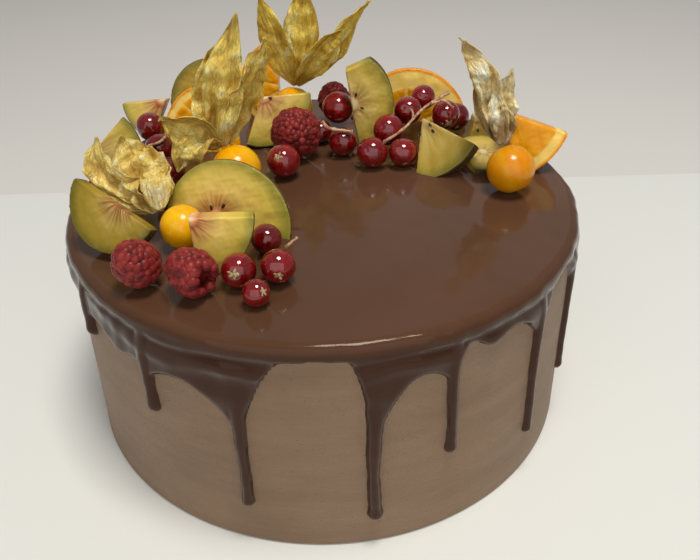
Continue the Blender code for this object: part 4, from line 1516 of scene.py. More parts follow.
KIWIS = (
    Slice("kiwi_01", -70.8, -40.6, 18.2, (-112.0, 30.0), 158.0, 180.0, 17.2, 5.5, core=(2.9, 1.5),
          tone=(1.0, 1.0)),
    Slice("kiwi_02", -43.7, -55.0, 19.8, (-92.0, 12.0), 275.0, 85.0, 21.4, 6.5, tone=(1.0, 0.0)),
    Slice("kiwi_03", -34.5, -32.2, 3.7, (-104.0, 16.0), 0.0, 360.0, 23.4, 6.0, core=(-4.8, 1.5),
          tone=(0.7, 0.0), taper=0.92, seeds=((-6.1, 5.6), (-1.6, 6.6))),
    Slice("kiwi_04", -66.5, 50.0, 19.6, (-92.0, 18.0), 185.0, 60.0, 20.0, 7.0, core=(-2.0, -0.5),
          tone=(1.0, 0.2)),
    Slice("kiwi_05", -90.4, 4.0, 14.1, (-80.0, 20.0), 295.0, 108.0, 21.0, 8.0, core=(1.7, 1.4),
          tone=(0.3, 0.5), seeds=((2.7, 2.8), (0.7, -0.1))),
    Slice("kiwi_06", -45.4, 47.6, 16.3, (-100.0, 9.0), 75.0, 180.0, 20.6, 7.0, tone=(0.2, 0.6)),
    Slice("kiwi_07", -25.4, 44.0, 21.4, (-85.0, 18.0), 248.0, 114.0, 21.4, 5.5, core=(1.0, 0.5),
          tone=(0.9, 0.1), seeds=((3.8, -0.6),)),
    Slice("kiwi_08", 12.9, 38.7, 19.3, (-95.0, 4.0), 280.0, 180.0, 21.2, 7.0, 0.85, (114.0, 13.8),
          core=(0.3, -0.4), tone=(0.3, 0.35), seeds=((2.0, 3.9), (0.3, -6.1), (4.6, -1.7))),
    Slice("kiwi_09", 41.0, 22.6, 19.2, (-122.0, 34.0), 280.0, 66.0, 26.0, 8.5, tone=(0.1, 0.75),
          seeds=((6.3, -4.6), (1.2, -6.8), (9.2, -1.1), (0.7, -8.2), (4.4, -2.4))),
    Slice("kiwi_10", 66.5, 18.1, 5.2, (-85.0, 80.0), 0.0, 360.0, 12.5, 4.6, 1.0, (190.0, 7.8),
          tone=(0.1, 0.4)),
    Slice("kiwi_11", 66.4, 37.0, 13.0, (-85.0, 8.0), 256.0, 98.0, 18.0, 6.5, tone=(0.1, 0.6),
          seeds=((1.2, -6.2),)),
)

ORANGES = (
    Slice("orange_01", -45.0, 37.6, 7.6, (-86.0, 12.0), 0.0, 360.0, 22.2, 6.5, 1.0, (0.0, 9.5),
          tone=(0.86, 0.1)),
    Slice("orange_02", -15.0, 74.0, 14.5, (-95.0, 8.0), 0.0, 360.0, 22.5, 7.0, 1.0, (0.0, -4.5),
          tone=(0.86, 0.0)),
    Slice("orange_03", 41.3, 62.6, -1.8, (-97.0, 8.0), 0.0, 360.0, 26.5, 7.0, tone=(0.68, 0.35)),
    Slice("orange_04", 71.2, 16.0, 24.0, (-105.0, 15.0), 292.0, 53.0, 28.5, 8.0, tone=(0.84, 0.25),
          phase=0.65, spread=0.3),
)


class Relief(Enum):
    """How a cut face rises: rays round a core, or segments between membranes."""

    RAYS = "rays"
    SEGMENTS = "segments"


@dataclass
class FruitSlices:
    """Slices of one fruit: rounded cut pieces with soft relief, whose layers the finish reads."""

    pieces: tuple[Slice, ...]
    finish: Finish
    slot: str
    relief: Relief = Relief.RAYS
    segments: int = 10
    steps: int = 96
    voxel_mm: float = 0.5
    smooth_steps: int = 4
    sink: float = 0.2
    seeds: Finish | None = None
    seed_size: Place = (0.90, 0.50, 0.28)

    def build(self) -> None:
        """Make and dress every slice, and the seeds that lie on their faces."""
        paint = self.finish.build()
        for number, piece in enumerate(self.pieces):
            mesh = self.blank(piece)
            self.relieve(mesh, piece, number)
            title = piece.name.replace("_", "_slice_")
            dress(title, mesh, [paint], self.slot, piece.name)
        if self.seeds:
            self.build_seeds(self.seeds.build())

    def cut(self, bm: BMesh, point: Vector, normal: Vector) -> None:
        """Cut away what lies on one side of a plane, and close the cut.

        Args:
            bm: the open mesh.
            point: a point of the plane.
            normal: the way from it to what goes.
        """
        bmesh.ops.bisect_plane(bm, geom=[*bm.verts, *bm.edges, *bm.faces], plane_co=point, plane_no=normal,
                               clear_outer=True, dist=1e-7)
        open_edges = [e for e in bm.edges if e.is_boundary]
        if open_edges:
            bmesh.ops.holes_fill(bm, edges=open_edges)

    def blank(self, piece: Slice) -> Mesh:
        """Make a slice without its relief.

        Args:
            piece: the slice.

        Returns:
            A cut disc in place, remeshed fine with its edges softened.
        """
        mesh = bpy.data.meshes.new(piece.name + "_blank")
        with editing(mesh) as bm:
            bmesh.ops.create_cone(bm, cap_ends=True, segments=self.steps, radius1=piece.radius * MM,
                                  radius2=piece.radius * MM, depth=piece.thickness * MM,
                                  matrix=Matrix.Translation((0.0, 0.0, -piece.thickness / 2.0 * MM)))
            bmesh.ops.scale(bm, vec=(piece.stretch, 1.0, 1.0), verts=bm.verts)
            back = [v for v in bm.verts if v.co.z < -0.5 * piece.thickness * MM]
            bmesh.ops.scale(bm, vec=(piece.taper, piece.taper, 1.0), verts=back)
            if piece.trim:
                way = direction(piece.trim[0], 0.0)
                self.cut(bm, way * piece.trim[1] * MM, way)
            if piece.sweep < 360.0:
                start, end = math.radians(piece.turn), math.radians(piece.turn + piece.sweep)
                self.cut(bm, Vector(), Vector((math.sin(start), -math.cos(start), 0.0)))
                if piece.sweep < 180.0:
                    self.cut(bm, Vector(), Vector((-math.sin(end), math.cos(end), 0.0)))
            bmesh.ops.transform(bm, matrix=piece.place(), verts=bm.verts)
            self.cut(bm, at(0.0, 0.0, -self.sink), Vector((0.0, 0.0, -1.0)))
            bmesh.ops.recalc_face_normals(bm, faces=bm.faces)
        holder = show(piece.name + "_blank", mesh)
        fine = holder.modifiers.new("fine", "REMESH")
        fine.mode = "VOXEL"
        fine.voxel_size = self.voxel_mm * MM
        fine.use_smooth_shade = True
        soft = holder.modifiers.new("soft", "SMOOTH")
        soft.factor = 0.5
        soft.iterations = self.smooth_steps
        return evaluated(holder)

    def relieve(self, mesh: Mesh, piece: Slice, number: int) -> None:
        """Raise the core, the rays or the segments, and keep where each point is on the round fruit.

        Args:
            mesh: the blank.
            piece: the slice.
            number: its number, which seeds its unevenness.
        """
        place = piece.place()
        turn = np.array(place.to_3x3())
        origin = np.array(place.translation) / MM
        local = (points_of(mesh) - origin) @ turn
        normals = np.zeros(len(mesh.vertices) * 3)
        mesh.vertices.foreach_get("normal", normals)
        normals = normals.reshape(-1, 3) @ turn
        fruit_size = piece.radius * np.array([piece.stretch, 1.0])
        share = local[:, :2] / fruit_size
        reach = np.linalg.norm(share, axis=1)
        side = (reach > 0.93) & (np.abs(normals[:, 2]) < 0.4)
        if side.any():
            rim = 1.0 - (1.0 - piece.taper) * climb(-local[:, 2], 0.0, piece.thickness)
            rim *= np.percentile(reach[side] / rim[side], 55)
            share, reach = share / rim[:, None], reach / rim
        seen = share - np.array(piece.core) / fruit_size * climb(1.0 - reach[:, None] ** 2)
        out = np.linalg.norm(seen, axis=1)
        angle = np.arctan2(seen[:, 1], seen[:, 0])
        middle = math.radians(piece.turn + piece.sweep / 2.0)
        off = (angle - middle + math.pi) % (2.0 * math.pi) - math.pi
        angle = middle + off * piece.spread
        seen = np.column_stack([out * np.cos(angle), out * np.sin(angle)])
        face = climb(np.abs(normals[:, 2]), 0.75, 0.2)
        level = np.where(normals[:, 2] > 0.0, 0.0, -piece.thickness)
        face *= np.abs(local[:, 2] - level) < 0.6
        local[:, 2] += (level - local[:, 2]) * face
        normals += (np.sign(normals[:, 2:]) * [0.0, 0.0, 1.0] - normals) * face[:, None]
        if self.relief is Relief.SEGMENTS:
            phase = piece.phase
            off = np.abs((angle * self.segments / (2.0 * math.pi) + phase) % 1.0 - 0.5) * 2.0
            fruit = climb(out, piece.tone[0], -0.04) * climb(out, 0.0, 0.12)
            height = fruit * (0.45 * np.sqrt(climb((1.0 - off) * out * 5.0)) - 0.15)
        else:
            phase = 3.7 * number
            height = 0.40 * climb(1.0 - (out / 0.16) ** 2) - 0.12 * np.exp(-((out - 0.2) / 0.05) ** 2)
            height += 0.05 * np.sin(angle * 38.0 + phase) * np.exp(-((out - 0.32) / 0.12) ** 2)
        height += 0.14 * ripple(local, 40 + number, 7.0) + 0.05 * ripple(local, 80 + number, 2.4)
        local += normals * (height * face)[:, None]
        set_points(mesh, local @ turn.T + origin)
        store(mesh, FRUIT_CO, np.column_stack([seen, reach]))
        store(mesh, FRUIT_TONE, np.tile([*piece.tone, phase], (len(local), 1)))
        mesh.shade_smooth()

    def build_seeds(self, paint: Material) -> None:
        """Make the seeds, half sunk in the slices' faces and pointing at the core.

        Args:
            paint: the seeds' material.
        """
        beads = []
        for piece in self.pieces:
            for x, y in piece.seeds:
                inward = math.atan2(y - piece.core[1], x - piece.core[0])
                place = piece.place() @ Matrix.Translation(Vector((x, y, 0.15)) * MM)
                beads.append((place @ Matrix.Rotation(inward, 4, "Z"), self.seed_size))
        mesh = Beads(self.slot + "_seed_beads", uneven=0.12).make(beads, paint)
        dress(self.slot + "_seeds", mesh, [paint], self.slot)


@dataclass
class Beads:
    """Small rounded beads set on points by a geometry tree: seeds, drupelets or dry flower lobes."""

    name: str
    detail: int = 2
    uneven: float = 0.0
    seed: int = 5

    def tree(self, paint: Material) -> NodeTree:
        """Make the geometry tree, which turns and sizes each bead by its point's attributes.

        Args:
            paint: the beads' material.

        Returns:
            The tree.
        """
        add, given = new_tree(self.name, {"Detail": self.detail, "Least": 1.0 - self.uneven,
                                          "Most": 1.0 + self.uneven, "Seed": self.seed})
        bead = add("GeometryNodeMeshIcoSphere", {"Radius": 1.0, "Subdivisions": given["Detail"]})
        turn, size = (add("GeometryNodeInputNamedAttribute", {"Name": label},
                          data_type="FLOAT_VECTOR") for label in ("turn", "size"))
        vary = add("FunctionNodeRandomValue", {2: given["Least"], 3: given["Most"], "Seed": given["Seed"]},
                   data_type="FLOAT", out=1)
        scale = add(VECTOR, {0: size, "Scale": vary}, operation="SCALE")
        spots = add("GeometryNodeMeshToPoints", [given["Geometry"]])
        placed = add("GeometryNodeInstanceOnPoints",
                     {"Points": spots, "Instance": bead, "Rotation": turn, "Scale": scale})
        return end_tree(placed, paint)

    def make(self, beads: list[tuple[Matrix, Place]], paint: Material) -> Mesh:
        """Return the beads' mesh.

        Args:
            beads: each bead's place in metres and its half sizes in millimetres.
            paint: the material of the tree's beads.

        Returns:
            One mesh of all beads, in place.
        """
        mesh = mesh_from(self.name, np.array([place.translation / MM for place, _ in beads]), [])
        store(mesh, "turn", np.array([place.to_3x3().to_euler() for place, _ in beads]))
        store(mesh, "size", np.array([size for _, size in beads]) * MM)
        return grow(self.tree(paint), mesh, {"Detail": self.detail, "Seed": self.seed})


@dataclass(frozen=True)
class Ball(Seat):
    """A round berry: place, diameter, the way its dry calyx points, whether that shows, and how
    ripe and so how deep in colour it is."""

    size: float
    calyx: Pair = (60.0, -30.0)
    shows: bool = False
    ripe: float = 0.3

    def place(self) -> Matrix:
        """Return the matrix from the berry's own frame, calyx up, to the cake's, in metres."""
        return self.facing_frame(self.calyx)


CURRANTS = (
    Ball("currant_01", -27.9, -65.4, 6.2, 11.6, (-100.0, 20.0), True),
    Ball("currant_02", -15.4, -63.7, 6.1, 11.4, (-86.0, 3.0), True, ripe=0.1),
    Ball("currant_03", -21.8, -76.2, 4.9, 9.0, (-50.0, 32.0), True),
    Ball("currant_04", -20.0, -46.4, 5.8, 10.6, ripe=0.7), Ball("currant_05", -72.9, 38.2, 11.9, 11.8),
    Ball("currant_06", -67.8, 27.0, 6.7, 12.4, ripe=0.8), Ball("currant_07", -59.6, -10.0, 5.4, 9.8),
    Ball("currant_08", -15.8, 10.8, 7.2, 13.4, (-110.0, 38.0), True, ripe=0.15),
    Ball("currant_09", 7.4, 47.8, 14.4, 13.6), Ball("currant_10", -0.4, 42.6, 5.6, 10.0, ripe=0.8),
    Ball("currant_11", 8.8, 28.8, 6.5, 12.0, ripe=0.5), Ball("currant_12", 20.4, 17.2, 6.8, 12.6),
    Ball("currant_13", 33.1, 17.2, 6.4, 11.8), Ball("currant_14", 28.0, 29.6, 11.2, 13.0),
    Ball("currant_15", 37.8, 43.6, 13.8, 12.2), Ball("currant_16", 45.4, 52.6, 16.0, 11.0),
    Ball("currant_17", 54.1, 41.6, 12.2, 12.2, (-83.0, -15.0), True),
    Ball("currant_18", 60.6, 51.4, 6.9, 12.0, ripe=0.7),
)

GOLDEN_BERRIES = (
    Ball("golden_berry_01", -48.6, -41.0, 8.3, 15.4, (156.0, 29.0), ripe=0.05),
    Ball("golden_berry_02", -33.2, -1.6, 9.9, 19.0, (140.0, 55.0), ripe=0.2),
    Ball("golden_berry_03", -12.6, 58.2, 11.2, 17.6, (51.0, 70.0)),
    Ball("golden_berry_04", 71.9, -7.1, 9.6, 18.4, (123.0, 53.0), ripe=0.9),
)


@dataclass
class RoundBerries:
    """Smooth berries of one kind: slightly uneven balls with a dimple at the dry flower, which is
    a star of brown lobes where it shows."""

    berries: tuple[Ball, ...]
    finish: BerrySkin
    slot: str
    rings: int = 40
    sectors: int = 56
    uneven: float = 0.012
    dimple: float = 0.05
    lobes: int = 5
    stem: DryStem | None = None

    def build(self) -> None:
        """Make and dress every berry."""
        paint = self.finish.build()
        paints = [paint, self.stem.build()] if self.stem else [paint]
        for number, berry in enumerate(self.berries):
            mesh = self.ball(berry, number)
            if berry.shows and self.stem:
                mesh = joined([mesh, self.flower(berry, number, paints[1])], [0, 1])
            kind, number_text = berry.name.rsplit("_", 1)
            dress(f"{kind}_fruit_{number_text}", mesh, paints, self.slot, berry.name)

    def ball(self, berry: Ball, number: int) -> Mesh:
        """Make one berry, its poles on the line from stalk to flower.

        Args:
            berry: the berry.
            number: its number, which seeds its unevenness.

        Returns:
            Its mesh in place.
        """
        mesh = bpy.data.meshes.new(berry.name)
        with editing(mesh) as bm:
            bmesh.ops.create_uvsphere(bm, u_segments=self.sectors, v_segments=self.rings, radius=1.0)
        way = points_of(mesh) * MM
        pole = climb(np.abs(way[:, 2]), 0.93, 0.07)
        swell = 1.0 + self.uneven * ripple(way * 3.0, 120 + number, 5.0) - self.dimple * pole ** 2
        local = way * (swell * berry.size / 2.0)[:, None]
        set_points(mesh, local)
        mesh.transform(berry.place())
        store(mesh, FRUIT_CO, way)
        store(mesh, FRUIT_TONE, np.full((len(way), 3), berry.ripe))
        mesh.shade_smooth()
        return mesh

    def flower(self, berry: Ball, number: int, paint: Material) -> Mesh:
        """Make the dry flower: crinkled lobes folded out round a short nub.

        Args:
            berry: the berry.
            number: its number, which seeds the crinkles.
            paint: the flower's material.

        Returns:
            Its mesh in place.
        """
        rng = np.random.default_rng(300 + number)
        radius = berry.size / 2.0
        top = radius * (1.0 - self.dimple) + 0.15
        place = berry.place() @ Matrix.Translation(Vector((0.0, 0.0, top)) * MM)
        beads = [(place @ Matrix.Translation((0.0, 0.0, 0.1 * MM)), (0.15 * radius, 0.13 * radius, 0.30))]
        for lobe in range(self.lobes):
            around = 2.0 * math.pi * (lobe + rng.uniform(-0.22, 0.22)) / self.lobes
            long = radius * rng.uniform(0.12, 0.19)
            tilt = Matrix.Rotation(rng.uniform(-0.55, 0.35), 4, "Y")
            tilt @= Matrix.Rotation(rng.uniform(-0.6, 0.6), 4, "X")
            out = Matrix.Translation((long * 1.05 * MM, 0.0, rng.uniform(0.10, 0.22) * MM))
            beads.append((place @ Matrix.Rotation(around, 4, "Z") @ out @ tilt,
                          (long, radius * rng.uniform(0.07, 0.12), 0.16)))
        return Beads("flower_lobes", uneven=0.1, seed=number).make(beads, paint)


@dataclass(frozen=True)
class Raspberry(Seat):
    """A raspberry: place, width, length, the way its tip points, and whether its hollow shows."""

    width: float
    length: float
    tip: Pair
    hollow: bool = False


RASPBERRIES = (
    Raspberry("raspberry_01", -60.0, -64.4, 9.8, 15.0, 17.6, (-120.0, 60.0)),
    Raspberry("raspberry_02", -42.2, -69.2, 8.9, 15.0, 18.4, (143.0, 8.0), True),
    Raspberry("raspberry_03", -11.2, 27.8, 12.0, 20.8, 21.0, (-110.0, 35.0)),
    Raspberry("raspberry_04", 6.0, 62.6, 13.0, 14.6, 16.5, (-90.0, 70.0)),
    Raspberry("raspberry_05", -60.0, 1.6, 8.0, 12.5, 14.0, (-60.0, 50.0)),
)


@dataclass
class Raspberries:
    """Raspberries: a tapered cup of flesh covered with drupelets that wind round it from the tip."""

    pitch_mm: float = 3.0
    taper: float = 0.18
    bulge: float = 1.05
    golden_angle: float = 2.39996
    open_from: float = -0.74
    seed: int = 5

    def surface(self, berry: Raspberry, way: Vector) -> Vector:
        """Find a point of the cup.

        Args:
            berry: the berry.
            way: the direction from its middle.

        Returns:
            The point, in millimetres.
        """
        half = berry.width / 2.0 - self.bulge
        narrow = 1.0 - self.taper * way.z
        return Vector((way.x * half * narrow, way.y * half * narrow,
                       way.z * (berry.length / 2.0 - self.bulge)))

    def cup(self, berry: Raspberry) -> Mesh:
        """Make the flesh under the drupelets, hollow at the broad end where that shows.

        Args:
            berry: the berry.

        Returns:
            Its mesh.
        """
        mesh = bpy.data.meshes.new(berry.name)
        with editing(mesh) as bm:
            bmesh.ops.create_uvsphere(bm, u_segments=40, v_segments=32, radius=1.0)
            for vert in bm.verts:
                way = vert.co.copy()
                vert.co = self.surface(berry, way)
                if berry.hollow and way.z < self.open_from:
                    inside = (self.open_from - way.z) / (1.0 + self.open_from)
                    narrow = math.cos(math.radians(88.0 * inside))
                    inner = way.xy.normalized() * berry.width * 0.29 * narrow
                    vert.co = Vector((inner.x, inner.y, berry.length * (0.72 * inside - 0.42)))
                vert.co *= MM
            bmesh.ops.recalc_face_normals(bm, faces=bm.faces)
        return mesh

    def drupelets(self, berry: Raspberry) -> list[tuple[Matrix, Place]]:
        """Wind the drupelets from the tip to the rim.

        Args:
            berry: the berry.

        Returns:
            Each drupelet's place and half sizes.
        """
        count = round(4.0 * math.pi * (berry.width * 0.5 - 0.4) * (berry.length * 0.5 - 0.4)
                      / (0.87 * self.pitch_mm ** 2))
        low = self.open_from - 0.02 if berry.hollow else -0.97
        beads = []
        for i in range(count):
            z = 1.0 - (1.0 - low) * (i + 0.5) / count
            ring, angle = math.sqrt(1.0 - z * z), self.golden_angle * i
            way = Vector((ring * math.cos(angle), ring * math.sin(angle), z))
            stray = 0.15 * min(1.0, 0.2 + 1.6 * (z - low))
            way = (way + stray * noise.noise_vector(way * 4.0 + Vector((berry.x, 0.0, 0.0)))).normalized()
            size = self.pitch_mm * 0.72 * (1.0 - 0.15 * max(0.0, z) ** 2)
            spot = self.surface(berry, way) - 0.55 * way
            place = Matrix.Translation(spot * MM) @ way.to_track_quat("Z", "Y").to_matrix().to_4x4()
            beads.append((place, (size, size * 0.92, size * 0.84)))
        return beads

    def build(self) -> None:
        """Make and dress every raspberry."""
        paint = RaspberryBloom().build()
        noise.seed_set(self.seed)
        for number, berry in enumerate(RASPBERRIES):
            beads = Beads("drupelets", uneven=0.16, seed=number).make(self.drupelets(berry), paint)
            mesh = joined([self.cup(berry), beads], [0, 0])
            mesh.transform(berry.facing_frame(berry.tip))
            dress(berry.name.replace("_", "_fruit_"), mesh, [paint], "raspberry", berry.name)


@dataclass(frozen=True)
class Lobe:
    """A husk's lobe: its tip and middle, from the husk's root, its width and its cross shape."""

    tip: Place
    middle: Place
    width: float
    facing: float
    cup: float
    twist: float


@dataclass(frozen=True)
class Husk(Seat):
    """A dried husk: its root on the berry, how crumpled it is, how cream its paper, how brown its
    neck, partly its own brown and partly painted shade, and its lobes."""

    crumple: float
    cream: float
    neck: float
    lobes: tuple[Lobe, ...]


HUSKS = (
    Husk("husk_01", -56.4, -37.6, 13.0, 2.0, 0.3, 0.4, (
        Lobe((-20.8, 16.0, 20.9), (-17.6, 9.0, 7.7), 12.0, -125.0, 2.0, 30.0),
        Lobe((-14.4, 22.4, 17.9), (-8.6, 15.0, 8.2), 18.0, -95.0, -2.5, 20.0),
        Lobe((2.0, 18.0, 8.4), (-2.0, 12.4, 4.9), 10.0, -60.0, 2.0, -30.0))),
    Husk("husk_02", -37.9, 2.3, 18.6, 1.7, 0.15, 0.3, (
        Lobe((-23.0, -2.0, 10.5), (-12.0, -1.5, 6.5), 13.0, -90.0, 2.0, 0.0),
        Lobe((-17.5, -7.5, -7.5), (-11.5, -3.5, 1.0), 13.0, -90.0, 2.0, 0.0),
        Lobe((0.6, 6.0, 36.6), (-3.4, 7.0, 16.0), 13.0, -105.0, 2.0, 15.0),
        Lobe((10.1, 0.0, 49.1), (2.8, -1.0, 24.4), 13.0, -90.0, -2.5, -15.0),
        Lobe((18.5, -2.0, 41.3), (10.4, 1.8, 19.3), 11.5, -70.0, 2.0, 20.0))),
    Husk("husk_03", -10.6, 60.7, 20.2, 0.9, 0.0, 0.5, (
        Lobe((-13.2, -5.0, 39.9), (-7.6, -4.0, 20.2), 11.5, -100.0, 2.0, 10.0),
        Lobe((4.9, -3.0, 44.2), (3.1, -2.0, 23.6), 13.5, -90.0, -2.0, 0.0),
        Lobe((20.8, -10.0, 26.7), (11.0, -8.0, 15.4), 11.0, -75.0, 2.0, -20.0),
        Lobe((31.9, -5.0, 38.1), (15.7, -4.0, 17.5), 11.5, -80.0, 2.0, 20.0))),
    Husk("husk_04", 68.7, -2.1, 17.6, 1.9, 0.9, 0.7, (
        Lobe((-10.5, 8.3, 24.0), (-5.6, 7.3, 11.7), 8.0, -115.0, 2.0, 20.0),
        Lobe((-18.5, 5.3, 39.5), (-7.0, 3.6, 21.5), 9.0, -95.0, 2.0, 25.0),
        Lobe((2.5, 6.3, 27.0), (-0.6, 4.8, 13.7), 10.0, -70.0, -2.5, -20.0),
        Lobe((-0.5, 1.6, 15.0), (0.2, 1.4, 7.6), 8.5, -90.0, 2.0, 0.0))),
)


@dataclass
class Husks:
    """Papery husks: cupped, pointed lobes that spread from a root, crumpled and ribbed with veins."""

    rows: int = 84
    columns: int = 30
    root_width: float = 0.20
    tip_width: float = 0.05
    wave: float = 2.5
    rib_mm: float = 0.08
    curl_mm: float = 1.1
    curl_wave: float = 11.0
    neck_mm: float = 13.0
    paper_mm: float = 0.2

    def lobe(self, lobe: Lobe, number: int, crumple: float) -> tuple[Array, Array, Array]:
        """Shape one lobe of the paper.

        Args:
            lobe: the lobe.
            number: its number, which seeds its folds.
            crumple: how strongly it is crumpled.

        Returns:
            Its grid of points from the husk's root, their (along, across) places, and how high each lies
                in the paper's folds.
        """
        tip, middle = Vector(lobe.tip), Vector(lobe.middle)
        control = 2.0 * middle - 0.5 * tip
        points, spots, fronts, flat = [], [], [], []
        for i in range(self.rows + 1):
            along = i / self.rows
            spine = 2.0 * along * (1.0 - along) * control + along * along * tip
            tangent = 2.0 * (1.0 - 2.0 * along) * control + 2.0 * along * tip
            side = direction(lobe.facing + 90.0 + lobe.twist * along, 0.0)
            side = (side - side.dot(tangent) / tangent.length_squared * tangent).normalized()
            front = side.cross(tangent.normalized())
            belly = math.sin(math.pi * along ** 0.9)
            width = lobe.width / 2.0 * (belly + self.root_width * (1.0 - along) + self.tip_width)
            for j in range(self.columns + 1):
                across = 2.0 * j / self.columns - 1.0
                ragged = 1.0 + 0.09 * abs(across) ** 2 * noise.noise(Vector((along * 9.0, across, number)))
                wave = self.wave * along * noise.noise(Vector((along * 2.5, across * 1.2, lobe.width)))
                bend = lobe.cup * (across * across - 0.5) * belly + wave
                points.append(spine + side * (across * width * ragged) + front * bend)
                spots.append((along, across, number * 0.13))
                fronts.append(front)
                flat.append((across * width, along * tip.length, 0.0))
        points, spots, fronts, flat = (np.array(item) for item in (points, spots, fronts, flat))
        fold = (0.9 * creases(flat, 200 + number, 13.0, (1.0, 1.3, 1.0))
                + 1.1 * creases(flat, 230 + number, 6.0, (1.0, 5.0, 1.0))
                + 0.3 * creases(flat, 260 + number, 4.5))
        rib = np.exp(-(np.abs((spots[:, 1] * 2.5 + 0.5) % 1.0 - 0.5) / 0.14) ** 2)
        edge = np.column_stack([flat[:, 1], spots[:, 1] * 6.0, spots[:, 2]])
        curl = climb(np.abs(spots[:, 1]), 0.6, 0.4) ** 2 * ripple(edge, 290 + number, self.curl_wave)
        free = np.clip(spots[:, 0] / 0.25, 0.2, 1.0)
        push = free * (crumple * fold + self.curl_mm * curl) + self.rib_mm * rib
        return points + fronts * push[:, None], spots, fold

    def build(self) -> None:
        """Make and dress every husk."""
        paint = HuskPaper().build()
        for count, husk in enumerate(HUSKS):
            points, spots, folds, faces, start = [], [], [], [], 0
            root = np.array([husk.x, husk.y, TOP + husk.rise])
            for number, lobe in enumerate(husk.lobes):
                grid, place, fold = self.lobe(lobe, 10 * count + number, husk.crumple)
                points.append(grid + root)
                spots.append(place)
                folds.append(fold)
                wide = self.columns + 1
                corners = (start + i * wide + j for i in range(self.rows) for j in range(self.columns))
                faces += [(a, a + 1, a + wide + 1, a + wide) for a in corners]
                start += len(grid)
            mesh = mesh_from(husk.name, np.concatenate(points), faces)
            store(mesh, FRUIT_CO, np.concatenate(spots))
            # The fold heights go to the finish, which paints light on the ridges and shade in the valleys.
            fold = np.concatenate(folds)
            far = np.linalg.norm(np.concatenate(points) - root, axis=1)
            # The neck's brown reach is partly the paper's own brown, partly painted shade.
            brown = husk.neck * climb(far, self.neck_mm, -0.5 * self.neck_mm)
            store(mesh, FRUIT_TONE, np.column_stack([np.full(start, husk.cream), fold, brown]))
            holder = show(husk.name, mesh)
            paper = holder.modifiers.new("paper", "SOLIDIFY")
            paper.thickness = self.paper_mm * MM
            paper.offset = 0.0
            dress(husk.name.replace("_", "_paper_"), evaluated(holder), [paint], "husk", husk.name)


@dataclass(frozen=True)
class Stalk:
    """A currant stalk: its thickness, the points of its main stem, and its side stems."""

    name: str
    thickness: float
    stem: tuple[Place, ...]
    side_stems: tuple[tuple[Place, ...], ...] = ()


STALKS = (
    Stalk("stalk_01", 1.2, ((25.6, 22.0, 8.9), (33.9, 24.3, 13.6), (43.0, 33.6, 18.4), (54.0, 37.6, 23.6)),
          (((38.2, 28.7, 16.2), (38.6, 33.4, 16.9), (38.4, 37.2, 16.5)),
           ((46.6, 34.9, 20.0), (52.0, 35.8, 20.8), (55.8, 34.6, 18.0)))),
    Stalk("stalk_02", 1.2, ((-62.6, 30.8, 14.6), (-65.5, 22.2, 12.3), (-72.0, 21.4, 10.1))),
    Stalk("stalk_03", 1.4, ((0.4, 26.4, 17.0), (3.2, 26.0, 14.1), (12.8, 24.9, 12.6))),
    Stalk("stalk_04", 1.0, ((-12.6, -61.6, 12.0), (-9.2, -57.4, 12.6))),
)


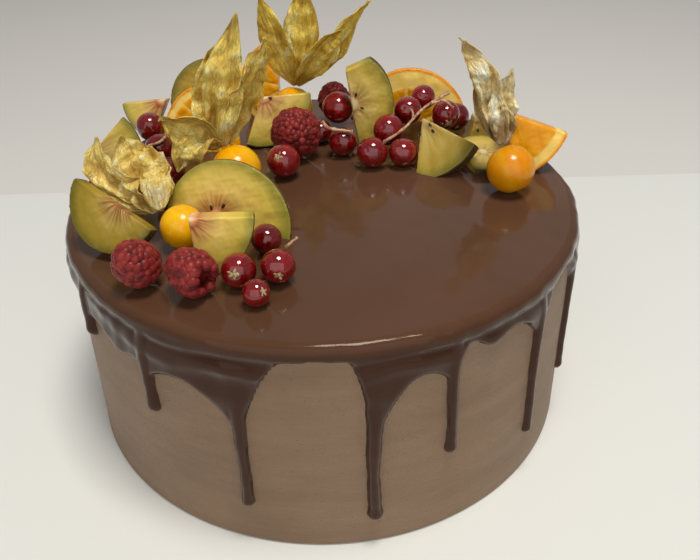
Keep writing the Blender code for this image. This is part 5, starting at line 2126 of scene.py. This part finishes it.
@dataclass
class Stalks:
    """Currant stalks: thin stems that swell unevenly and end in small knobs."""

    steps: int = 14
    sides: int = 12
    side_share: float = 0.8

    def tree(self, paint: Material) -> NodeTree:
        """Make the geometry tree that turns edges into stems, as thick as their points say.

        Args:
            paint: the stems' material.

        Returns:
            The tree.
        """
        add, given = new_tree("uneven_stems", {"Thickness": 1.2 * MM, "Sides": self.sides})
        curve = add("GeometryNodeMeshToCurve", [given["Geometry"]])
        share = add("GeometryNodeInputNamedAttribute", {"Name": "share"}, data_type="FLOAT_VECTOR")
        thick = add(VECTOR, {0: share, "Scale": given["Thickness"]}, operation="SCALE")
        thick = add("ShaderNodeSeparateXYZ", [thick])
        sized = add("GeometryNodeSetCurveRadius", {0: curve, "Radius": thick})
        ring = add("GeometryNodeCurvePrimitiveCircle", {"Resolution": given["Sides"], "Radius": 0.5})
        tube = add("GeometryNodeCurveToMesh",
                   {"Curve": sized, "Profile Curve": ring, "Scale": thick, "Fill Caps": True})
        return end_tree(tube, paint)

    def path(self, points: tuple[Place, ...]) -> list[Vector]:
        """Draw a smooth curve through points.

        Args:
            points: x, y and rise over the top of each, in millimetres.

        Returns:
            Points close together along it, in millimetres.
        """
        given = [Vector((x, y, TOP + rise)) for x, y, rise in points]
        ends = [2.0 * given[0] - given[1], *given, 2.0 * given[-1] - given[-2]]
        path = []
        for p0, p1, p2, p3 in zip(ends, ends[1:], ends[2:], ends[3:]):
            for i in range(self.steps):
                t = i / self.steps
                path.append(0.5 * (2.0 * p1 + (p2 - p0) * t
                                   + (2.0 * p0 - 5.0 * p1 + 4.0 * p2 - p3) * t ** 2
                                   + (3.0 * p1 - p0 - 3.0 * p2 + p3) * t ** 3))
        return [*path, given[-1]]

    def build(self) -> None:
        """Make and dress every stalk."""
        paint = DryStem().build()
        tree = self.tree(paint)
        for number, stalk in enumerate(STALKS):
            points, edges, shares = [], [], []
            for thin, stem in [(False, stalk.stem), *((True, side) for side in stalk.side_stems)]:
                path = self.path(stem)
                edges += [(len(points) + i, len(points) + i + 1) for i in range(len(path) - 1)]
                points += path
                knots = 1.0 + 0.16 * ripple(np.array(path), 60 + number, 3.5)
                ends = np.minimum(np.arange(len(path)), np.arange(len(path))[::-1]) / len(path)
                knobs = 1.0 + 0.4 * np.exp(-(ends / 0.05) ** 2)
                shares += list((self.side_share if thin else 1.0) * knots * knobs)
            mesh = bpy.data.meshes.new(stalk.name)
            mesh.from_pydata([tuple(p * MM) for p in points], edges, [])
            store(mesh, "share", np.tile(np.array(shares)[:, None], 3))
            made = grow(tree, mesh, {"Thickness": stalk.thickness * MM})
            dress(stalk.name.replace("_", "_stem_"), made, [paint], "stalk", stalk.name)


def main() -> None:
    """Dress the cake piece by piece."""
    logging.basicConfig(level=logging.INFO, format="%(message)s")
    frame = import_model()
    standing = tuple(name for name in frame["nodes"] if name not in ("cake_body", "ganache"))
    Studio().build()
    body = CakeBody()
    body.build()
    Ganache(body, fruits=standing).build()
    FruitSlices(KIWIS, KiwiFlesh(), "kiwi", seeds=SeedCoat()).build()
    FruitSlices(ORANGES, OrangeFlesh(), "orange", Relief.SEGMENTS).build()
    waxy = BerrySkin("waxy_golden_berry", "#FFAA00", "#FFB800", "#FFC60C", 0.24, 0.10, 0.10, 0.8,
                     (1.0, 0.6, 0.05), 2.2, 0.10, "#DCC448")
    RoundBerries(GOLDEN_BERRIES, waxy, "golden_berry").build()
    flower = DryStem("dried_currant_flower", "#4A3422", "#A88A5E", "#D2BE92", 0.7)
    RoundBerries(CURRANTS, BerrySkin(), "currant", stem=flower).build()
    Raspberries().build()
    Husks().build()
    Stalks().build()


if __name__ == "__main__":
    main()
